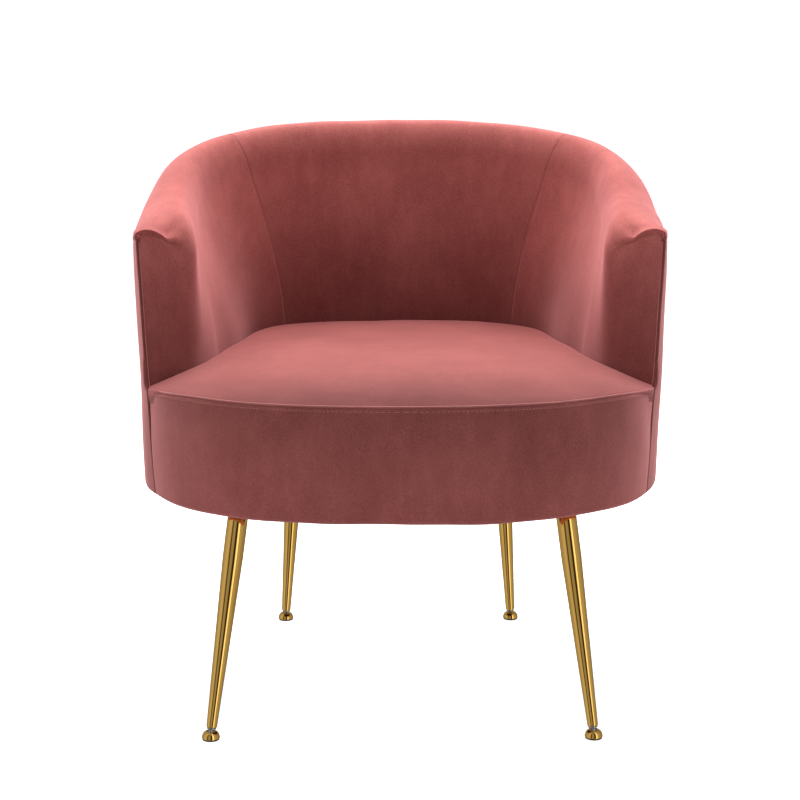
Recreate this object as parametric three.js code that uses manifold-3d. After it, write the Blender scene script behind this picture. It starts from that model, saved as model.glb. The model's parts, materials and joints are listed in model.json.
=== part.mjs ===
// Upholstered tub armchair: a wooden barrel frame with foam and velvet covers, a tight sprung seat,
// and four tapered metal legs that each end in a levelling foot with a tilting base.
// Millimetres, +Z up, the front of the chair faces -Y, and the floor is Z = 0.
import * as THREE from "three";
import { mergeVertices } from "three/addons/utils/BufferGeometryUtils.js";
import Module from "manifold-3d";

const wasm = await Module();
wasm.setup();

// ---- driving dimensions ----
const HALF_WIDTH = 347; // outer plan outline at the base: a superellipse
const HALF_DEPTH = 325;
const OUTLINE_POWER = 2.5;
const SIDE_LEAN = { z: 620, gain: 0.024 }; // the sides lean out: how much wider the barrel is here
const BASE_Z = 291; // underside of the upholstery
const RIM_BACK_Z = 760; // top of the back
const SEAT_SEAM_Z = 436; // seam round the seat's front edge
const SEAT_LEVEL_Z = 450; // where the seat meets the walls
const SEAT_CROWN = 36; // how far the seat's middle stands above its front seam
const RAIL_TOP_Z = 368; // top of the seat rails
const FOAM_BASE_Z = 374; // the foam starts above the springs and the deck cloth
const ARM_FRONT_TOP = { y: -125, z: 622 }; // the arm's outer front seam, top and bottom
const ARM_FRONT_BOTTOM = { y: -166, z: 296 };
const COVER = 1.8; // velvet with its backing
const GAP = 0.3;
const BOARD = 3; // fibreboard behind the outside covers
const RAIL_INSET = 8; // wooden rails, measured in from the outer outline
const FRONT_RAIL_INSET = 10;
const RAIL_THICK = 20;
const RAIL_BASE_Z = 297;
const ROLL_WIDTH = 52; // thickness of the wall at its rolled rim
const OUTSIDE_SEAM_DROP = 40; // the outside panels start this far under the rim
const LEG_TOP_RADIUS = 13;
const LEG_TIP_RADIUS = 6.8;
const LEG_STRAIGHT = 62; // the leg's cylindrical top before it tapers
const FOOT_RADIUS = 11.5;
const BALL_Z = 7; // centre of the foot's ball joint
const FRONT_FOOT = { x: 243, y: -275, leanX: 7.5, leanY: 6.5, plateTurn: -58 };
const REAR_FOOT = { x: 173, y: 245, leanX: 4.1, leanY: 9, plateTurn: 0 };

const DEGREE = Math.PI / 180;
const clamp = (value) => Math.min(1, Math.max(0, value));
const mix = (a, b, share) => a + (b - a) * share;
const MERGE_DISTANCE = 1e-4;

// ---- materials ----
function material(color, roughness, metalness) {
  return new THREE.MeshStandardMaterial({ color, roughness, metalness });
}

const velvet = () => material(0xa65a58, 0.9, 0);
const foamMaterial = () => material(0xe8dcb8, 0.95, 0);
const wood = () => material(0xc69c6d, 0.8, 0);
const boardMaterial = () => material(0x9a7b56, 0.9, 0);
const blackCloth = () => material(0x1d1b1c, 0.95, 0);
const springSteel = () => material(0x70757a, 0.4, 0.9);
const gold = () => material(0xb08840, 0.25, 1);
const blackRubber = () => material(0x2b2b2b, 0.8, 0);

const chair = new THREE.Group();

function addMesh(name, geometry, finish) {
  const mesh = new THREE.Mesh(geometry, finish);
  mesh.name = name;
  chair.add(mesh);
  return mesh;
}

// ---- solids ----
function signedVolume(positions, index) {
  const a = new THREE.Vector3();
  const b = new THREE.Vector3();
  const c = new THREE.Vector3();
  let volume = 0;
  for (let i = 0; i < index.length; i += 3) {
    a.fromArray(positions, 3 * index[i]);
    b.fromArray(positions, 3 * index[i + 1]);
    c.fromArray(positions, 3 * index[i + 2]);
    volume += a.dot(b.cross(c)) / 6;
  }
  return volume;
}

// A closed body through rings of points. Each ring goes out along one side of a section and back
// along the other, so the ends are capped by strips between the two sides.
function loft(rings) {
  const count = rings[0].length;
  const positions = rings.flat().flatMap((point) => [point.x, point.y, point.z]);
  const index = [];
  for (let ring = 0; ring + 1 < rings.length; ring++) {
    for (let i = 0; i < count; i++) {
      const a = ring * count + i;
      const b = ring * count + ((i + 1) % count);
      // Both sides of a section split their faces along the same diagonal, so layers stay parallel.
      if (i < count / 2) {
        index.push(a, b, b + count, a, b + count, a + count);
      } else {
        index.push(a, b, a + count, b, b + count, a + count);
      }
    }
  }
  const last = (rings.length - 1) * count;
  for (let i = 0; i + 1 < count / 2; i++) {
    const far = count - 1 - i;
    index.push(i, far, far - 1, i, far - 1, i + 1);
    index.push(last + i, last + far - 1, last + far, last + i, last + i + 1, last + far - 1);
  }
  const geometry = new THREE.BufferGeometry();
  geometry.setAttribute("position", new THREE.Float32BufferAttribute(positions, 3));
  if (signedVolume(positions, index) < 0) {
    index.reverse();
  }
  geometry.setIndex(index);
  return geometry;
}

function toManifold(geometry, matrix = new THREE.Matrix4()) {
  const bare = new THREE.BufferGeometry();
  bare.setAttribute("position", geometry.getAttribute("position").clone());
  bare.setIndex(geometry.getIndex());
  const merged = mergeVertices(bare.applyMatrix4(matrix), MERGE_DISTANCE);
  return new wasm.Manifold(
    new wasm.Mesh({
      numProp: 3,
      vertProperties: merged.attributes.position.array,
      triVerts: new Uint32Array(merged.index.array),
    }),
  );
}

function fromManifold(solid) {
  const mesh = solid.getMesh();
  const geometry = new THREE.BufferGeometry();
  geometry.setAttribute("position", new THREE.BufferAttribute(mesh.vertProperties, 3));
  geometry.setIndex(new THREE.BufferAttribute(mesh.triVerts, 1));
  return geometry;
}

function subtract(geometry, ...cutters) {
  let solid = toManifold(geometry);
  for (const [cutter, matrix] of cutters) {
    solid = solid.subtract(toManifold(cutter, matrix));
  }
  return fromManifold(solid);
}

// ---- the barrel's plan ----
// A point on the outer outline at an angle, moved in by an inset along the outline's normal.
function planPoint(angle, inset) {
  const c = Math.cos(angle * DEGREE);
  const s = Math.sin(angle * DEGREE);
  const x = HALF_WIDTH * Math.sign(c) * Math.abs(c) ** (2 / OUTLINE_POWER);
  const y = HALF_DEPTH * Math.sign(s) * Math.abs(s) ** (2 / OUTLINE_POWER);
  const slope = OUTLINE_POWER - 1;
  const normal = new THREE.Vector2(
    (Math.sign(x) * Math.abs(x / HALF_WIDTH) ** slope) / HALF_WIDTH,
    (Math.sign(y) * Math.abs(y / HALF_DEPTH) ** slope) / HALF_DEPTH,
  ).normalize();
  return new THREE.Vector2(x - inset * normal.x, y - inset * normal.y);
}

// The angle on the right-hand side at which the outline passes a given Y.
function angleAtY(y) {
  const share = (Math.abs(y) / HALF_DEPTH) ** (OUTLINE_POWER / 2);
  return (Math.sign(y) * Math.asin(clamp(share))) / DEGREE;
}

function armFrontY(z) {
  const share = (z - ARM_FRONT_BOTTOM.z) / (ARM_FRONT_TOP.z - ARM_FRONT_BOTTOM.z);
  return mix(ARM_FRONT_BOTTOM.y, ARM_FRONT_TOP.y, share);
}

// Rim height: highest at the back, falling in an S to the arm fronts.
const RIM_FALL = { height: 45, angle: 68 };
const RIM_DIP = { height: 30, angle: -7, spread: 14 };

function bell(angle, shape) {
  return Math.exp(-(((angle - shape.angle) / shape.spread) ** 2));
}

function rimZ(angle) {
  const fall = RIM_FALL.height * ((90 - angle) / RIM_FALL.angle) ** 2;
  return RIM_BACK_Z - fall - RIM_DIP.height * bell(angle, RIM_DIP);
}

// Wall thickness at seat level: the thin rear corners, and what the arms and the back add to them.
const CORNER_THICK = 58;
const ARM_BULGE = { size: 54, angle: 14, spread: 36, frontSpread: 29 };
const BACK_BULGE = { size: 26, angle: 90, spread: 20 };

function seatLevelThickness(angle) {
  const spread = angle < ARM_BULGE.angle ? ARM_BULGE.frontSpread : ARM_BULGE.spread;
  const arm = ARM_BULGE.size * bell(angle, { angle: ARM_BULGE.angle, spread });
  const back = BACK_BULGE.size * bell(angle, BACK_BULGE);
  return CORNER_THICK + arm + back;
}

// The arm's front end: a blunt face from the outer seam, rounded into the inner side. The slope is
// how far the face runs back for each millimetre of width, and the reach is the size of the rounding.
const NOSE_LOW = { z: 450, slope: 0.45, reach: 13 };
const NOSE_HIGH = { z: 600, slope: 0.33, reach: 9 };
const WALL_TAPER_POWER = 1.3; // how the wall thins from seat level up to its roll

function smoothMin(a, b, reach) {
  return Math.max(0, -reach * Math.log(Math.exp(-a / reach) + Math.exp(-b / reach)));
}

function wallThickness(angle, z) {
  const rollZ = rimZ(angle) - ROLL_WIDTH / 2;
  const share = clamp((z - SEAT_LEVEL_Z) / (rollZ - SEAT_LEVEL_Z)) ** WALL_TAPER_POWER;
  const full = mix(seatLevelThickness(angle), ROLL_WIDTH, share);
  const high = clamp((z - NOSE_LOW.z) / (NOSE_HIGH.z - NOSE_LOW.z));
  const slope = mix(NOSE_LOW.slope, NOSE_HIGH.slope, high);
  const reach = mix(NOSE_LOW.reach, NOSE_HIGH.reach, high);
  const front = planPoint(angleAtY(armFrontY(Math.max(z, SEAT_LEVEL_Z))), 0);
  return smoothMin(front.distanceTo(planPoint(angle, 0)) / slope, full, reach);
}

// ---- the barrel's surface ----
// A wall section is a list of { inset, z, nx, nz }: up the inner face, over the roll, down outside.
const INNER_STEPS = 6;
const ROLL_STEPS = 4;
const EDGE_ROUND = 7; // the outside's bottom edge
const OUTSIDE_STEPS = 2;
const HEM_GAP = 3; // between the outside panels and the lip of the inside covers

function innerFace(angle, low) {
  const high = rimZ(angle) - ROLL_WIDTH / 2;
  const points = [];
  for (let step = 0; step <= INNER_STEPS; step++) {
    const z = mix(low, high, step / INNER_STEPS);
    const rise = 1;
    const above = wallThickness(angle, z + rise);
    const below = wallThickness(angle, z - rise);
    const normal = new THREE.Vector2(2 * rise, below - above).normalize();
    points.push({ inset: wallThickness(angle, z), z, nx: normal.x, nz: normal.y });
  }
  return points;
}

function rollFace(angle) {
  const z = rimZ(angle) - ROLL_WIDTH / 2;
  const half = wallThickness(angle, z) / 2;
  const points = [];
  for (let step = 1; step <= ROLL_STEPS; step++) {
    const turn = (Math.PI * step) / ROLL_STEPS;
    points.push({
      inset: half + half * Math.cos(turn),
      z: z + (ROLL_WIDTH / 2) * Math.sin(turn),
      nx: Math.cos(turn),
      nz: Math.sin(turn),
    });
  }
  return points;
}

function outerFace(angle, steps) {
  const high = rimZ(angle) - OUTSIDE_SEAM_DROP - HEM_GAP;
  const low = BASE_Z + EDGE_ROUND;
  const points = [];
  for (let step = 0; step <= steps; step++) {
    points.push({ inset: 0, z: mix(high, low, step / steps), nx: -1, nz: 0 });
  }
  for (const turn of [45, 90]) {
    points.push({
      inset: EDGE_ROUND * (1 - Math.cos(turn * DEGREE)),
      z: low - EDGE_ROUND * Math.sin(turn * DEGREE),
      nx: -Math.cos(turn * DEGREE),
      nz: -Math.sin(turn * DEGREE),
    });
  }
  return points;
}

// A section of a layer between two depths under the surface, as an outline of { inset, z }.
function layerSection(surface, shallow, deep) {
  const sink = (depth) => (point) => ({
    inset: point.inset - depth * point.nx,
    z: point.z - depth * point.nz,
  });
  return [...surface.map(sink(shallow)), ...surface.map(sink(deep)).reverse()];
}

function place(angle, point) {
  const plan = planPoint(angle, point.inset);
  return new THREE.Vector3(plan.x, plan.y, point.z);
}

// Sweeps sections round the barrel. sectionAt(angle) gives an outline of { inset, z },
// and angleAt(share, z) turns a share of the way along into an angle at that height.
function sweep(shares, angleAt, sectionAt) {
  const rings = shares.map((share) =>
    sectionAt(angleAt(share, SEAT_LEVEL_Z)).map((point) => place(angleAt(share, point.z), point)),
  );
  return loft(rings);
}

function evenShares(steps) {
  return Array.from({ length: steps + 1 }, (unused, i) => i / steps);
}

function mirrored(geometry) {
  const copy = geometry.clone();
  copy.applyMatrix4(new THREE.Matrix4().makeScale(-1, 1, 1));
  const index = Array.from(copy.getIndex().array).reverse();
  copy.setIndex(index);
  return copy;
}

function addPair(name, geometry, finish) {
  addMesh(`${name}_right`, geometry, finish());
  addMesh(`${name}_left`, mirrored(geometry), finish());
}

// ---- the seams between the barrel's panels ----
const PANEL_SEAM_TOP = { angle: 48.5, z: 735 };
const PANEL_SEAM_LOW = { angle: 60, z: 460 };
const HALF_PANEL_GAP = 0.15; // degrees, as are the next two
const OUTSIDE_SEAM_ANGLE = 47;
const SEAM_GAP = 0.1;
const FRONT_SEAM_GAP = 0.8;

function panelSeamAngle(z) {
  const share = clamp((z - PANEL_SEAM_LOW.z) / (PANEL_SEAM_TOP.z - PANEL_SEAM_LOW.z));
  return mix(PANEL_SEAM_LOW.angle, PANEL_SEAM_TOP.angle, share ** 1.6);
}

const frontSeamAngle = (z) => angleAtY(armFrontY(Math.min(z, ARM_FRONT_TOP.z)));

// Stations along the inside of an arm. Below seat level they stay upright, hidden by the seat.
function armAngle(share, z) {
  const from = frontSeamAngle(Math.max(z, SEAT_LEVEL_Z));
  return mix(from, panelSeamAngle(z) - HALF_PANEL_GAP, share);
}

function backAngle(share, z) {
  const start = panelSeamAngle(z) + HALF_PANEL_GAP;
  return mix(start, 180 - start, share);
}

// Sections are worked out on the right-hand half, so angles on the left are folded over.
const fold = (angle) => (angle > 90 ? 180 - angle : angle);

const ARM_SHARES = [
  0.005, 0.03, 0.06, 0.09, 0.12, 0.16, 0.21, 0.28, 0.36, 0.47, 0.57, 0.67, 0.78, 0.89, 1,
];
const FOAM_ARM_SHARES = ARM_SHARES.slice(1);
const BACK_SHARES = evenShares(10);

function lipPoint(angle) {
  return { inset: 0, z: rimZ(angle) - OUTSIDE_SEAM_DROP, nx: -1, nz: 0 };
}

function insideSurface(angle) {
  return [...innerFace(angle, FOAM_BASE_Z), ...rollFace(angle), lipPoint(angle)];
}

// ---- covers ----
function addInsideCovers() {
  const section = (angle) => layerSection(insideSurface(fold(angle)), 0, COVER);
  addPair("inside_arm_cover", sweep(ARM_SHARES, armAngle, section), velvet);
  addMesh("inside_back_cover", sweep(BACK_SHARES, backAngle, section), velvet());
}

const OUTSIDE_SHARES = evenShares(9);
const OUTSIDE_BACK_SHARES = evenShares(10);
const BOARD_LEVELS = 4;
const BOARD_LOW_Z = BASE_Z + EDGE_ROUND + 2;
const BOARD_DROP = OUTSIDE_SEAM_DROP + HEM_GAP + 1; // the boards' top edge, under the rim
const outsideArmAngle = (share, z) =>
  mix(frontSeamAngle(z) + FRONT_SEAM_GAP, OUTSIDE_SEAM_ANGLE - SEAM_GAP, share);
const outsideBackAngle = (share) => mix(OUTSIDE_SEAM_ANGLE, 180 - OUTSIDE_SEAM_ANGLE, share);

function addOutsideCovers() {
  const section = (angle) => layerSection(outerFace(fold(angle), OUTSIDE_STEPS), 0, COVER);
  addPair("outside_arm_cover", sweep(OUTSIDE_SHARES, outsideArmAngle, section), velvet);
  const back = sweep(OUTSIDE_BACK_SHARES, outsideBackAngle, section);
  addMesh("outside_back_cover", back, velvet());
}

// Fibreboard panels carry the outside covers between the rails.
function addOuterBoards() {
  const span = [COVER + GAP, COVER + GAP + BOARD];
  const low = () => BOARD_LOW_Z;
  const high = (angle) => rimZ(fold(angle)) - BOARD_DROP;
  const armShares = OUTSIDE_SHARES.slice(1);
  const arm = bar(armShares, outsideArmAngle, span, low, high, BOARD_LEVELS);
  addPair("outer_board", arm, boardMaterial);
  const back = bar(OUTSIDE_BACK_SHARES, outsideBackAngle, span, low, high);
  addMesh("outer_board_back", back, boardMaterial());
}

// ---- frame ----
// A rectangular bar that follows the plan between two insets. A tall one has several levels,
// so that it leans as the wall's stations do.
function bar(shares, angleAt, [insetA, insetB], lowZ, highZ, levels = 1) {
  return sweep(shares, angleAt, (angle) => {
    const heights = evenShares(levels).map((share) => mix(lowZ(angle), highZ(angle), share));
    const up = heights.map((z) => ({ inset: insetA, z }));
    const down = heights.map((z) => ({ inset: insetB, z })).reverse();
    return [...up, ...down];
  });
}

const RAIL_SPAN = [RAIL_INSET, RAIL_INSET + RAIL_THICK];
const FRONT_RAIL_SPAN = [FRONT_RAIL_INSET, FRONT_RAIL_INSET + RAIL_THICK];
const TOP_RAIL_LOW = 62; // the top rail, measured down from the rim
const TOP_RAIL_HIGH = 24;
const FRAME_START = 3; // the arm's frame starts at this station of ARM_SHARES
const FRONT_POST_SHARES = ARM_SHARES.slice(FRAME_START, FRAME_START + 2);
const REAR_POST_SHARES = ARM_SHARES.slice(-3, -1);
const APRON_SHARES = [0, 0.01, ...evenShares(14).slice(1, -1), 0.99, 1];
const WALL_LEVELS = 8;
const POST_CLEARANCE = 2; // under the top rail

const railBase = () => RAIL_BASE_Z;
const railTop = () => RAIL_TOP_Z;
const topRailLow = (angle) => rimZ(fold(angle)) - TOP_RAIL_LOW;
const topRailHigh = (angle) => rimZ(fold(angle)) - TOP_RAIL_HIGH;

function apronAngle(share, z) {
  const end = frontSeamAngle(z) - FRONT_SEAM_GAP;
  return mix(-180 - end, end, share);
}

// The three kinds of seat rail, each between two insets and two heights.
const frontRail = (span, low, high) => bar(APRON_SHARES, apronAngle, span, low, high);
const sideRail = (span, low, high) => bar(OUTSIDE_SHARES, outsideArmAngle, span, low, high);
const backRail = (span, low, high) => bar(OUTSIDE_BACK_SHARES, outsideBackAngle, span, low, high);

function addFrame() {
  addMesh("front_rail", frontRail(FRONT_RAIL_SPAN, railBase, railTop), wood());
  addMesh("back_rail", backRail(RAIL_SPAN, railBase, railTop), wood());
  addPair("side_rail", sideRail(RAIL_SPAN, railBase, railTop), wood);
  const topBack = bar(BACK_SHARES, backAngle, RAIL_SPAN, topRailLow, topRailHigh);
  addMesh("top_back_rail", topBack, wood());
  const armShares = ARM_SHARES.slice(FRAME_START);
  addPair("arm_rail", bar(armShares, armAngle, RAIL_SPAN, topRailLow, topRailHigh), wood);
  const postBase = () => RAIL_TOP_Z + GAP;
  const postTop = (angle) => topRailLow(angle) - POST_CLEARANCE;
  const frontPost = bar(FRONT_POST_SHARES, armAngle, RAIL_SPAN, postBase, postTop, WALL_LEVELS);
  addPair("front_post", frontPost, wood);
  const rearPost = bar(REAR_POST_SHARES, armAngle, RAIL_SPAN, postBase, postTop, WALL_LEVELS);
  addPair("rear_post", rearPost, wood);
  addCrossBoards();
}

const CROSS_BOARD_THICK = 20;
const FRONT_BOARD = { y: -232, width: 66, length: 560 };
const REAR_BOARD = { y: 191, width: 62, length: 600 };
const CUT_MARGIN = 40; // how far a cutter runs past the piece it cuts

// The cross boards carry the legs. Their ends and edges are cut to the rails' curve.
function addCrossBoards() {
  const low = () => RAIL_BASE_Z - 1;
  const room = [-CUT_MARGIN, RAIL_INSET + RAIL_THICK + GAP];
  const frontRoom = [-CUT_MARGIN, FRONT_RAIL_INSET + RAIL_THICK + GAP];
  const side = sideRail(room, low, railTop);
  const rails = [[frontRail(frontRoom, low, railTop)], [backRail(room, low, railTop)], [side]];
  rails.push([mirrored(side)]);
  for (const [name, board, feet] of [
    ["front_cross_board", FRONT_BOARD, FRONT_FOOT],
    ["rear_cross_board", REAR_BOARD, REAR_FOOT],
  ]) {
    const blank = new THREE.BoxGeometry(board.length, board.width, CROSS_BOARD_THICK);
    blank.translate(0, board.y, RAIL_BASE_Z + CROSS_BOARD_THICK / 2);
    const holes = [1, -1].map((side) => boltRoom(feet, side));
    addMesh(name, subtract(blank, ...rails, ...holes), wood());
  }
}

// ---- wall foam ----
// The foam fills the wall under its cover, less the space that the frame stands in.
const FRAME_SPACE = [RAIL_SPAN[0] - 1.5, RAIL_SPAN[1] + 1];
const FRAME_SPACE_DROP = 10; // below the foam's base
const FACET_RISE = 0.2; // keeps the foam's back corners apart in height
const SPACE_MARGIN = 0.05; // shares of a panel's length
const POST_MARGIN = 0.004;

function foamSection(angle) {
  const depth = COVER + GAP;
  const surface = insideSurface(angle).map((point) => ({
    inset: point.inset - depth * point.nx,
    z: Math.max(point.z - depth * point.nz, FOAM_BASE_Z + GAP),
  }));
  const lipZ = rimZ(angle) - OUTSIDE_SEAM_DROP + GAP;
  surface[surface.length - 1].z = lipZ;
  const behind = surface.map((point, i) => ({
    inset: RAIL_INSET,
    z: Math.min(point.z, lipZ - (surface.length - 1 - i) * FACET_RISE),
  }));
  return [...surface, ...behind.reverse()];
}

function addWallFoam() {
  const low = () => FOAM_BASE_Z - FRAME_SPACE_DROP;
  const high = (angle) => topRailHigh(angle) + GAP;
  const section = (angle) => foamSection(fold(angle));
  const spaceBeside = (shares, angleAt) => bar(shares, angleAt, FRAME_SPACE, low, high, WALL_LEVELS);
  const armShares = [...ARM_SHARES.slice(FRAME_START), 1 + SPACE_MARGIN];
  armShares[0] -= POST_MARGIN;
  const armSpace = spaceBeside(armShares, armAngle);
  const backSpace = spaceBeside([-SPACE_MARGIN, ...BACK_SHARES, 1 + SPACE_MARGIN], backAngle);
  const arm = subtract(sweep(FOAM_ARM_SHARES, armAngle, section), [armSpace]);
  addPair("arm_foam", arm, foamMaterial);
  const back = subtract(sweep(BACK_SHARES, backAngle, section), [backSpace]);
  addMesh("back_foam", back, foamMaterial());
}

// ---- the front apron ----
// The front face under the seat's seam: set back a little at the seam and rounded under at the base.
const APRON_HEM = { inset: 7, z: SEAT_SEAM_Z };
const APRON_FACE = [
  { inset: 3.5, z: SEAT_SEAM_Z - 7 },
  { inset: 2, z: SEAT_SEAM_Z - 40 },
  { inset: 0, z: SEAT_SEAM_Z - 90 },
  { inset: 0, z: BASE_Z + EDGE_ROUND },
];
const PAD_BACK_INSET = FRONT_RAIL_INSET - 1.2;
const PAD_TOP_Z = SEAT_SEAM_Z - 8;

function apronSurface() {
  const face = [APRON_HEM, ...APRON_FACE].map((point) => ({ ...point, nx: -1, nz: 0 }));
  return [...face, ...outerFace(0, 1).slice(-2)];
}

function addApron() {
  const cover = layerSection(apronSurface(), 0, COVER);
  addMesh("apron_cover", sweep(APRON_SHARES, apronAngle, () => cover), velvet());
  const padFace = APRON_FACE.map(({ inset, z }) => ({
    inset: inset + COVER + GAP,
    z: Math.min(PAD_TOP_Z, Math.max(z, BOARD_LOW_Z)),
  }));
  const padBack = padFace.map(({ z }) => ({ inset: PAD_BACK_INSET, z })).reverse();
  const pad = [...padFace, ...padBack];
  addMesh("apron_foam", sweep(APRON_SHARES.slice(1, -1), apronAngle, () => pad), foamMaterial());
}

// ---- the seat ----
const SEAT_SPREAD = { x: 351, front: 318, back: 600 };
const SEAT_CLEARANCE = 4.2;
const SEAT_FRONT_INSET = 10.4; // behind the apron's top hem
const SEAT_SIDES = 84;
const SEAT_RINGS = [0.94, 0.8, 0.55, 0.28];
const SEAT_TUCK = 16; // how far the seat's cover goes down beside the walls
const SEAT_FOAM_INSET = COVER + 1.2;
const SEAT_FOAM_DEPTH = COVER + 1.5;

function seatZ(x, y) {
  const depth = y < 0 ? SEAT_SPREAD.front : SEAT_SPREAD.back;
  const across = Math.abs(x / SEAT_SPREAD.x) ** OUTLINE_POWER;
  const along = Math.abs(y / depth) ** OUTLINE_POWER;
  return SEAT_SEAM_Z + SEAT_CROWN * (1 - Math.min(1, across + along));
}

// The seat's plan: the front seam line, then the inside of the walls.
function seatOutline(extraInset) {
  const points = [];
  for (let i = 0; i < SEAT_SIDES; i++) {
    const angle = -90 + (360 * i) / SEAT_SIDES;
    const right = fold(angle);
    const wall = right > frontSeamAngle(SEAT_LEVEL_Z) ? wallThickness(right, SEAT_LEVEL_Z) : 0;
    const inset = Math.max(SEAT_FRONT_INSET, wall + SEAT_CLEARANCE) + extraInset;
    points.push(planPoint(angle, inset));
  }
  return points;
}

// A closed body through rings with one point at each end.
function stack(firstPole, rings, lastPole) {
  const count = rings[0].length;
  const points = [firstPole, ...rings.flat(), lastPole];
  const index = [];
  for (let i = 0; i < count; i++) {
    const next = (i + 1) % count;
    index.push(0, 1 + next, 1 + i);
    for (let ring = 0; ring + 1 < rings.length; ring++) {
      const a = 1 + ring * count + i;
      const b = 1 + ring * count + next;
      index.push(a, b, b + count, a, b + count, a + count);
    }
    const top = 1 + (rings.length - 1) * count;
    index.push(top + i, top + next, points.length - 1);
  }
  const positions = points.flatMap((point) => [point.x, point.y, point.z]);
  const geometry = new THREE.BufferGeometry();
  geometry.setAttribute("position", new THREE.Float32BufferAttribute(positions, 3));
  if (signedVolume(positions, index) < 0) {
    index.reverse();
  }
  geometry.setIndex(index);
  return geometry;
}

// The seat's top under a depth: rings from the edge inwards, closing on the middle.
function seatTop(outline, depth) {
  const ring = (share) =>
    outline.map((point) => {
      const x = point.x * share;
      const y = point.y * share;
      return new THREE.Vector3(x, y, seatZ(x, y) - depth);
    });
  return {
    rings: [1, ...SEAT_RINGS].map(ring),
    pole: new THREE.Vector3(0, 0, seatZ(0, 0) - depth),
  };
}

const levelRing = (outline, z) => outline.map((point) => new THREE.Vector3(point.x, point.y, z));

function addSeat() {
  const outer = seatOutline(0);
  const skin = seatTop(outer, 0);
  const under = seatTop(seatOutline(COVER), COVER);
  const tuck = new THREE.Vector3(0, 0, -SEAT_TUCK);
  const lowered = (ring) => ring.map((point) => point.clone().add(tuck));
  const coverRings = [
    ...under.rings.slice().reverse(),
    lowered(under.rings[0]),
    lowered(skin.rings[0]),
    ...skin.rings,
  ];
  addMesh("seat_cover", stack(under.pole, coverRings, skin.pole), velvet());
  const foamOutline = seatOutline(SEAT_FOAM_INSET);
  const foamTop = seatTop(foamOutline, SEAT_FOAM_DEPTH);
  const foamBase = FOAM_BASE_Z + GAP;
  const foamRings = [levelRing(foamOutline, foamBase), ...foamTop.rings];
  const basePole = new THREE.Vector3(0, 0, foamBase);
  addMesh("seat_foam", stack(basePole, foamRings, foamTop.pole), foamMaterial());
}

// A flat sheet that follows the plan at an inset.
function planSheet(inset, lowZ, thickness) {
  const outline = [];
  for (let i = 0; i < SEAT_SIDES; i++) {
    outline.push(planPoint(-90 + (360 * i) / SEAT_SIDES, inset));
  }
  const rings = [levelRing(outline, lowZ), levelRing(outline, lowZ + thickness)];
  const low = new THREE.Vector3(0, 0, lowZ);
  const high = new THREE.Vector3(0, 0, lowZ + thickness);
  return stack(low, rings, high);
}

const SPRING_XS = [-180, -60, 60, 180];
const SPRING_WIRE = 1.8;
const SPRING_HALF_WIDTH = 22;
const SPRING_PITCH = 24; // length of one bend
const SPRING_END_INSET = 24;
const SPRING_STEPS = 50;
const WIRE_SIDES = 4;
const DECK_CLOTH = { inset: 31, thick: 1 };
const DUST_COVER = { inset: 17, z: 295.6, thick: 1 };

class SpringCurve extends THREE.Curve {
  constructor(x, from, to) {
    super();
    Object.assign(this, { x, from, to });
  }

  getPoint(share, target = new THREE.Vector3()) {
    const turns = Math.round((this.to - this.from) / SPRING_PITCH / 2);
    const x = this.x + SPRING_HALF_WIDTH * Math.sin(2 * Math.PI * turns * share);
    return target.set(x, mix(this.from, this.to, share), RAIL_TOP_Z + GAP + SPRING_WIRE);
  }
}

function addDeck() {
  const section = new THREE.Shape();
  for (let i = 0; i < WIRE_SIDES; i++) {
    const turn = (2 * Math.PI * i) / WIRE_SIDES;
    section[i ? "lineTo" : "moveTo"](SPRING_WIRE * Math.cos(turn), SPRING_WIRE * Math.sin(turn));
  }
  SPRING_XS.forEach((x, i) => {
    const depthAt = (1 - Math.abs(x / HALF_WIDTH) ** OUTLINE_POWER) ** (1 / OUTLINE_POWER);
    const reach = HALF_DEPTH * depthAt - SPRING_END_INSET;
    const curve = new SpringCurve(x, -reach, reach);
    const wire = new THREE.ExtrudeGeometry(section, { steps: SPRING_STEPS, extrudePath: curve });
    addMesh(`seat_spring_${i + 1}`, wire, springSteel());
  });
  const deckZ = FOAM_BASE_Z - GAP - DECK_CLOTH.thick;
  addMesh("deck_cloth", planSheet(DECK_CLOTH.inset, deckZ, DECK_CLOTH.thick), blackCloth());
  const holes = [FRONT_FOOT, REAR_FOOT].flatMap((foot) => [boltRoom(foot, 1), boltRoom(foot, -1)]);
  const dustCover = planSheet(DUST_COVER.inset, DUST_COVER.z, DUST_COVER.thick);
  addMesh("dust_cover", subtract(dustCover, ...holes), blackCloth());
}

// ---- legs ----
const PLATE = { size: 42, z: 292.3, thick: 3 };
const LEG_END_Z = 292; // the leg's top is cut level under its plate
const LATHE_SIDES = 14;
const TIP_START = 9.1; // along the leg from the ball's centre
const TIP_BORE = 3.7;
const TIP_PLUG = 15;
const TUBE_WALL = 1.3;
const TIP_WALL = 1;
const CAP_THICK = 6; // the leg's top cap, which its bolt passes through
const CAP_DROP = 3; // the cap's top, under the leg's top end
const CAP_BORE = 4.4;
const BOLT = { radius: 4, headRadius: 7, headHeight: 5, reach: 20, clearance: 0.6 };
const LEG_SPARE = 6; // length that the level cut takes off
const CUT_BOX = { width: 100, height: 60, share: 0.85 };

function footDirection(foot, side) {
  const x = -side * Math.tan(foot.leanX * DEGREE);
  const y = -Math.sign(foot.y) * Math.tan(foot.leanY * DEGREE);
  return new THREE.Vector3(x, y, 1).normalize();
}

// The frame of a leg: its origin is the foot's ball centre and its Z runs up the leg.
function legMatrix(foot, side) {
  const turn = new THREE.Quaternion();
  turn.setFromUnitVectors(new THREE.Vector3(0, 0, 1), footDirection(foot, side));
  const origin = new THREE.Vector3(side * foot.x, foot.y, BALL_Z);
  return new THREE.Matrix4().compose(origin, turn, new THREE.Vector3(1, 1, 1));
}

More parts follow.
